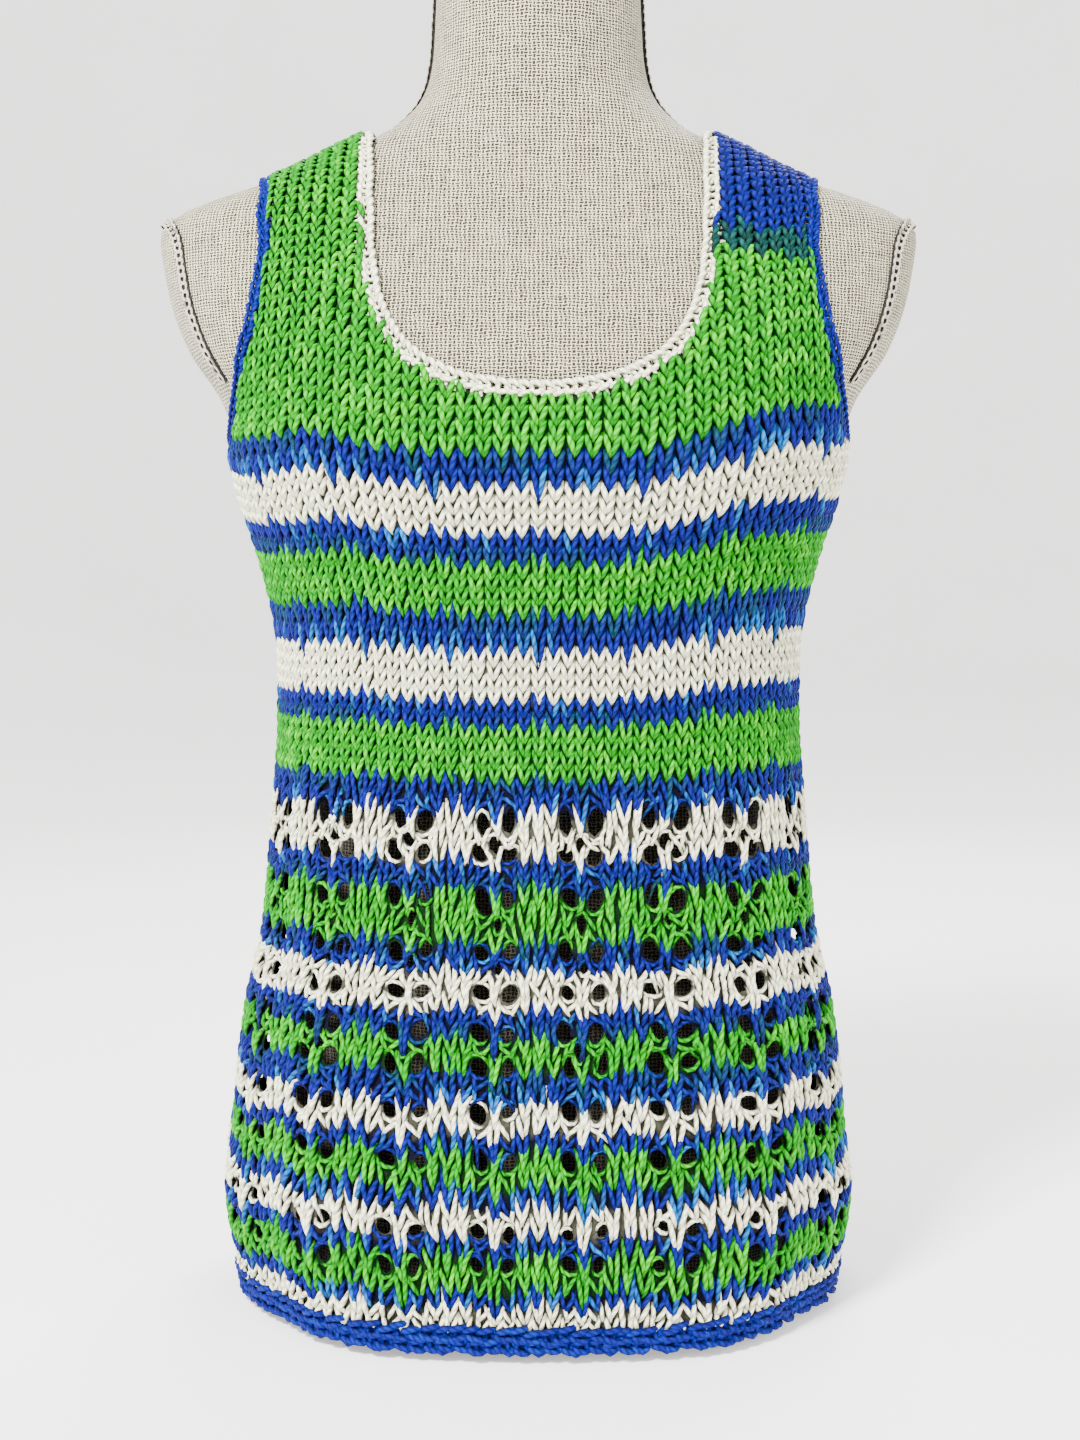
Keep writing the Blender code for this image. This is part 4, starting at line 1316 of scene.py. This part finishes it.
BRAIDS = {
    "neck_braid": [(0.0, height) for height in np.linspace(*NECK_BRAID_SPAN, 6)],
    "shoulder_braid": [(0.0, height) for height in np.linspace(*SHOULDER_BRAID_SPAN, 5)],
    "arm_braid": ([(-angle, height) for angle, height in ARM_BRAID] + [(0.0, ARM_BRAID_TOP)]
                  + [(angle, height) for angle, height in reversed(ARM_BRAID)]),
}
LINK_PITCH, LINK_WIDTH, LINK_RADIUS, LINK_SWAY = 4.6 * MM, 7.2 * MM, 0.74 * MM, 0.02
STRAND_WIDTH, STRAND_RADIUS = 6.4 * MM, 0.85 * MM
STRAND_PLACES = (-1.9 * MM, 0.0, 1.9 * MM)
LINK_DYES, STRAND_DYES = ("thread", "shade", 0.10), ("core", "core", 0)


def braid_piece(name, curve, flip):
    """A chain of pale loops over dark strands."""
    path = braid_path(curve, flip)
    parts = lay_legs(path, LINK_TABLE, LINK_PITCH, LINK_WIDTH, LINK_RADIUS, 0.0, MIRRORED,
                     LINK_DYES, LINK_SWAY)
    for across in STRAND_PLACES:
        parts += lay_legs(path, CORE_TABLE, CORE_PITCH, STRAND_WIDTH, STRAND_RADIUS, across,
                          ONE_LEG, STRAND_DYES, NO_SWAY)
    return crochet_piece(name, parts)


braid_pieces = {}
for name, curve in BRAIDS.items():
    for side, flip in (("left", -1.0), ("right", 1.0)):
        braid_pieces[f"{name}_{side}"] = braid_piece(f"{name}_cord_{side}", curve, flip)

# %% [markdown]
# ## Shader maths
# A material is a small formula. One class wraps a node's socket, so a formula can be typed
# as Python and each operator adds its own Math node. One method makes every other node.

# %% A socket that does arithmetic
class Value:
    """A socket of a material, with the operators that the finishes use."""

    def __init__(self, material, socket):
        self.material, self.socket = material, socket

    def node(self, kind, settings=None, **values):
        """Add a node by type, set its settings, then its sockets, and return it."""
        node = self.material.node_tree.nodes.new(kind)
        for name, setting in (settings or {}).items():
            if name != "stops":
                setattr(node, name, setting)
                continue
            ramp = node.color_ramp.elements
            for number, (place, colour) in enumerate(setting):
                stop = ramp[number] if number < 2 else ramp.new(place)
                stop.position, stop.color = place, colour
        for name, value in values.items():
            wanted = name.replace("_", " ")
            socket = next(s for s in node.inputs if s.identifier == name or s.name == wanted)
            if isinstance(value, Value):
                self.material.node_tree.links.new(value.socket, socket)
            else:
                socket.default_value = value
        return node

    def math(self, operation, other=0.0):
        """One Math node of this value and another."""
        node = self.material.node_tree.nodes.new("ShaderNodeMath")
        node.operation = operation
        for number, value in enumerate((self, other)):
            if isinstance(value, Value):
                self.material.node_tree.links.new(value.socket, node.inputs[number])
            else:
                node.inputs[number].default_value = value
        return Value(self.material, node.outputs[0])

    def __add__(self, other):
        return self.math("ADD", other)

    def __sub__(self, other):
        return self.math("SUBTRACT", other)

    def __mul__(self, other):
        return self.math("MULTIPLY", other)

    def __pow__(self, other):
        return self.math("POWER", other)

    def __rsub__(self, other):
        return (self * -1.0) + other

    __radd__ = __add__
    __rmul__ = __mul__

    def sin(self):
        """The sine of this value."""
        return self.math("SINE")

    def clip(self):
        """This value held between 0 and 1."""
        return self.math("MINIMUM", 1.0).math("MAXIMUM", 0.0)


print("shader maths ready")

# %% [markdown]
# ## Parts that the finishes share
# All the finishes here are dull cloth, with a constant roughness and gloss on the shader.
# What varies is the colour and the bump, and both are built from the same few parts: noise,
# the mesh's own dye with its painted shade, its map, a Mix node for colours, and a height
# that becomes a bump.

# %% Parts of a finish
SHEEN_ROUGHNESS, DULL_GLOSS = 0.45, 0.12


def out(value, node, name):
    """A node's named output, wrapped for more arithmetic."""
    return Value(value.material, node.outputs[name])


def new_finish(name, roughness, sheen):
    """A material with its constants set on the shader, ready for links."""
    material = bpy.data.materials.new(name)
    material.use_nodes = True
    shader = material.node_tree.nodes["Principled BSDF"]
    shader.inputs["Roughness"].default_value = roughness
    shader.inputs["Sheen Weight"].default_value = sheen
    shader.inputs["Sheen Roughness"].default_value = SHEEN_ROUGHNESS
    shader.inputs["Specular IOR Level"].default_value = DULL_GLOSS
    return material, shader, Value(material, None)


def link(value, shader, name):
    """Join a value to a shader's named socket."""
    value.material.node_tree.links.new(value.socket, shader.inputs[name])


def noise(where, scale, detail):
    """Soft noise at a position, from 0 to 1."""
    node = where.node("ShaderNodeTexNoise", None, Vector=where, Scale=scale, Detail=detail)
    return out(where, node, "Fac")


def object_place(start):
    """Where a point lies on the object, in metres."""
    return out(start, start.node("ShaderNodeTexCoord"), "Object")


def dye_and_shade_colour(start):
    """The colour that the mesh carries at each point: its dye, with painted shade on the knitting.
    """
    return out(start, start.node("ShaderNodeAttribute", {"attribute_name": "dye"}), "Color")


def millimetre_map(start):
    """The map that the mesh carries, and its two distances."""
    place = out(start, start.node("ShaderNodeUVMap", {"uv_map": "twist"}), "UV")
    parts = start.node("ShaderNodeSeparateXYZ", None, Vector=place)
    return place, out(start, parts, "X"), out(start, parts, "Y")


def blend(start, kind, share, first, second):
    """Two colours through a Mix node, mixed or multiplied by a share."""
    node = start.node("ShaderNodeMix", {"data_type": "RGBA", "blend_type": kind},
                      Factor_Float=share, A_Color=first, B_Color=second)
    return Value(start.material, node.outputs[2])


def shaded(colour, shade):
    """A colour made darker by a number that varies over the surface."""
    grey = colour.node("ShaderNodeCombineColor", None, Red=shade, Green=shade, Blue=shade)
    return blend(colour, "MULTIPLY", 1.0, colour, out(colour, grey, "Color"))


def raise_surface(height, shader):
    """Bump a shader by a height in metres."""
    bump = height.node("ShaderNodeBump", None, Height=height, Strength=1.0, Distance=1.0)
    link(out(height, bump, "Normal"), shader, "Normal")


print("gloss of the cloths", DULL_GLOSS)

# %% [markdown]
# ## Twisted cotton
# Three plies wind round each other, so their ridges cross the yarn at a slant. The phase of
# the ridge is the turn round the yarn plus the distance along it. The groove between plies
# is lower, and painted darker as shade, though less dark in a pale dye, which lets light
# through. The yarn's flanks get painted shade too. Fine fibre noise and broad blotches vary
# the shade, as hand dyeing does.

# %% Yarn finish
PLIES = 3
FULL_TURN = 2 * math.pi
FIBRE_SCALE, BLOTCH_SCALE = 2600.0, 140.0
PALE_GROOVE, FLANK_SHADE_GAIN = 0.60, 1.14
# How much the noise adds to the shade, and the least shade
FIBRE_SHADE, BLOTCH_SHADE = (0.35, 0.82), (0.4, 0.80)
FIBRE_HEIGHT = 0.35


def yarn_finish(name, twist_lead, groove_depth, darkest, flank):
    """Plied yarn: slanted ridges over the dye colour, from the twist map, with painted shade in the
    grooves and on the flanks.
    """
    material, shader, start = new_finish(name, 0.70, 0.0)
    dye = dye_and_shade_colour(start)
    _, around, along = millimetre_map(start)
    phase = around * (FULL_TURN * PLIES) + along * (FULL_TURN * PLIES / twist_lead)
    ridge = (phase.sin() * 0.5 + 0.5) ** 0.5
    # Painted shade: the tube's flanks are darker than its outer face
    flank_shade = ((around * FULL_TURN).sin() * (1 - flank) * FLANK_SHADE_GAIN + flank).clip()
    fibre = noise(object_place(start), FIBRE_SCALE, 3.0)
    blotch = noise(object_place(start), BLOTCH_SCALE, 2.0)
    paleness = out(start, start.node("ShaderNodeSeparateColor", None, Color=dye), "Red")
    # Painted shade in the grooves between plies, less deep in a pale dye
    lowest = paleness * (PALE_GROOVE - darkest) + darkest
    shade = (ridge * (1 - lowest) + lowest) * flank_shade
    shade = shade * (fibre * FIBRE_SHADE[0] + FIBRE_SHADE[1])
    shade = shade * (blotch * BLOTCH_SHADE[0] + BLOTCH_SHADE[1])
    link(shaded(dye, shade), shader, "Base Color")
    raise_surface(ridge * groove_depth + fibre * (groove_depth * FIBRE_HEIGHT), shader)
    return material


# The twist's lead in millimetres, the groove's depth, its painted shade, and the flanks' painted
# shade
cotton = yarn_finish("cotton_yarn", 12.0, 0.42 * MM, 0.36, 0.05)
crochet_cotton = yarn_finish("crochet_yarn", 9.0, 0.34 * MM, 0.30, 0.06)
braid_thread = yarn_finish("braid_thread", 5.0, 0.12 * MM, 0.50, 0.16)
LOOP_SCALE, LOOP_HEIGHT, LOOP_SHADE = 420.0, 1.2 * MM, (0.9, 0.35)


def ground_finish():
    """The backs of the loops: the mesh's dye with its painted shade, varied by grain noise, with
    fine bumps.
    """
    material, shader, start = new_finish("loop_backs", 0.85, 0.0)
    grain = noise(object_place(start), LOOP_SCALE, 2.0)
    shade = grain * LOOP_SHADE[0] + LOOP_SHADE[1]
    link(shaded(dye_and_shade_colour(start), shade), shader, "Base Color")
    raise_surface(grain * LOOP_HEIGHT, shader)
    return material


loop_backs = ground_finish()
print("yarn finishes", cotton.name, crochet_cotton.name, braid_thread.name, loop_backs.name)

# %% [markdown]
# ## Coarse linen
# Linen threads vary in thickness and shade. Two waves, one round and one up, make the
# threads, and their product decides which one lies on top. Noise that is stretched along
# a thread tints it, since some threads are dark grey and some cream. The form's lower half,
# which only shows through the openwork, is painted darker as the shade under the skirt.

# %% Linen finish
SHADED_BELOW, SHADE_EDGE = 0.275, 0.04
# Painted shade under the skirt: the linen below SHADED_BELOW is multiplied by this dark tint
SKIRT_SHADE_TINT = (0.11, 0.105, 0.105, 1)
LINEN_STOPS = (
    (0.10, (0.022, 0.019, 0.013, 1)),
    (0.90, (0.580, 0.525, 0.360, 1)),
    (0.50, (0.130, 0.115, 0.077, 1)),
)
WANDER_SCALE, WANDER = 0.12, 2.4
STREAK = 0.060
TINT_GAIN, TINT_MIDDLE, RIDGE_GAIN = 3.8, 0.41, 2.7
WEAVE_HEIGHT = 0.28 * MM


def linen_finish(across, up):
    """Plain weave in warm greys, from a map in millimetres, with painted shade on the lower part.
    """
    material, shader, start = new_finish("coarse_linen", 0.88, 0.15)
    place, round_at, up_at = millimetre_map(start)
    drift = (noise(place, WANDER_SCALE, 2.0) - 0.5) * WANDER
    round_phase = (round_at + drift) * (math.pi / across)
    up_phase = (up_at + drift) * (math.pi / up)
    warp, weft = round_phase.sin(), up_phase.sin()
    top = (round_phase.math("COSINE") * up_phase.math("COSINE") * 3.0 + 0.5).clip()
    tints = []
    for stretch in ((1 / across, STREAK, 0.0), (STREAK, 1 / up, 0.0)):
        scaled = start.node("ShaderNodeMapping", None, Vector=place, Scale=stretch)
        tints.append(noise(out(start, scaled, "Vector"), 1.0, 3.0))
    tint = tints[0] * top + tints[1] * (1 - top)
    ridge = warp * warp * top + weft * weft * (1 - top)
    tone = ((tint - 0.5) * TINT_GAIN + TINT_MIDDLE + (ridge - 0.5) * RIDGE_GAIN).clip()
    ramp = start.node("ShaderNodeValToRGB", {"stops": LINEN_STOPS}, Fac=tone)
    thread = out(start, ramp, "Color")
    parts = start.node("ShaderNodeSeparateXYZ", None, Vector=object_place(start))
    # Painted shade: below the openwork's top the linen is darkened, as the shade under the skirt
    covered = ((out(start, parts, "Z") - SHADED_BELOW) * (1 / SHADE_EDGE)).clip()
    lower = blend(start, "MULTIPLY", 1.0, thread, SKIRT_SHADE_TINT)
    link(blend(start, "MIX", covered, lower, thread), shader, "Base Color")
    raise_surface(ridge * WEAVE_HEIGHT, shader)
    return material


# The threads' pitch in millimetres, round and up
linen = linen_finish(2.1, 1.7)
print("linen finish", linen.name)

# %% [markdown]
# ## Dress the part
# Each piece rides on the part's one body, stands for the solid that it replaces, and takes
# a finish.

# %% Finishes and riders
def dress(piece, material, slot, *nodes):
    """Give a piece its finish, its body and the solids it replaces. The slot is not used."""
    piece.data.materials.clear()
    piece.data.materials.append(material)
    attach(piece, "root")
    if nodes:
        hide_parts(*nodes)


dress(form_cover, linen, "linen", "form_body")
dress(neck_edge, crochet_cotton, "ivory_crochet", "neck_edging")
dress(hem_edge, crochet_cotton, "blue_crochet", "hem_edging")
for name, piece in arm_edges.items():
    dress(piece, crochet_cotton, "blue_crochet", f"armhole_edging_{name}")
for name, piece in braid_pieces.items():
    dress(piece, braid_thread, "braid", name)
for name, piece in knit_pieces.items():
    dress(piece, cotton, "knit")
for name, piece in grounds.items():
    dress(piece, loop_backs, "knit", f"{name}_panel")

# %% [markdown]
# ## Floor and light
# The picture has plain soft light from the upper left and no ground at all. A round floor
# whose rim curves up on every side gives an even pale ground from any view, and glows a
# little so that it stays light. A fairly small key lamp draws the stitches' relief, a
# weak fill opens the shadows, and a lamp behind lights the back.

# %% Floor, lamps and world
WHITE = (1.0, 1.0, 1.0, 1)
FLOOR_FLAT, FLOOR_BEND, FLOOR_TOP = 2.2, 2.6, 4.6
FLOOR_AROUND, BEND_START, BEND_STEPS = 64, 0.06, 26
FLOOR_STOPS = ((0.3, (0.90, 0.90, 0.89, 1)), (0.7, (0.93, 0.93, 0.92, 1)))
FLOOR_GLOW, WORLD_LIGHT = 0.50, 0.60


def floor_sheet():
    """A pale round floor whose rim curves up into a wall on every side."""
    profile = [(0.0, 0.0), (0.6, 0.0), (1.4, 0.0), (FLOOR_FLAT, 0.0)]
    for turn in np.linspace(BEND_START, math.pi / 2, BEND_STEPS):
        profile.append((FLOOR_FLAT + FLOOR_BEND * math.sin(turn),
                        FLOOR_BEND - FLOOR_BEND * math.cos(turn)))
    profile.append((FLOOR_FLAT + FLOOR_BEND, FLOOR_TOP))
    turns = np.arange(FLOOR_AROUND) / FLOOR_AROUND * 2 * math.pi
    points = [(reach * math.cos(turn), reach * math.sin(turn), height)
              for reach, height in profile for turn in turns]
    quads = []
    for low in range(0, (len(profile) - 1) * FLOOR_AROUND, FLOOR_AROUND):
        high = low + FLOOR_AROUND
        for step in range(FLOOR_AROUND):
            following = (step + 1) % FLOOR_AROUND
            quads.append((low + step, low + following, high + following, high + step))
    floor = link_mesh("floor", np.array(points), np.array(quads))
    material, shader, start = new_finish("pale_floor", 0.9, 0.0)
    grain = noise(object_place(start), 3.0, 3.0)
    ramp = start.node("ShaderNodeValToRGB", {"stops": FLOOR_STOPS}, Fac=grain)
    link(out(start, ramp, "Color"), shader, "Base Color")
    shader.inputs["Emission Color"].default_value = WHITE
    shader.inputs["Emission Strength"].default_value = FLOOR_GLOW
    floor.data.materials.append(material)


def lamp(name, place, aim, size, watts):
    """A square area lamp that faces a point."""
    data = bpy.data.lights.new(name, "AREA")
    data.size, data.energy = size, watts
    light = bpy.data.objects.new(name, data)
    light.location = place
    light.rotation_euler = (Vector(aim) - Vector(place)).to_track_quat("-Z", "Y").to_euler()
    bpy.context.scene.collection.objects.link(light)


floor_sheet()
lamp("key", (-0.9, -1.5, 1.9), (0, 0, 0.35), 0.5, 205)
lamp("fill", (1.6, -1.3, 0.9), (0, 0, 0.35), 1.2, 24)
lamp("back", (0.4, 1.6, 1.9), (0, 0, 0.5), 1.2, 80)
world = bpy.data.worlds.new("world")
world.use_nodes = True
sky = world.node_tree.nodes["Background"]
sky.inputs["Color"].default_value = WHITE
sky.inputs["Strength"].default_value = WORLD_LIGHT
bpy.context.scene.world = world
print("floor", round(2 * (FLOOR_FLAT + FLOOR_BEND), 1), "m across, world light", WORLD_LIGHT)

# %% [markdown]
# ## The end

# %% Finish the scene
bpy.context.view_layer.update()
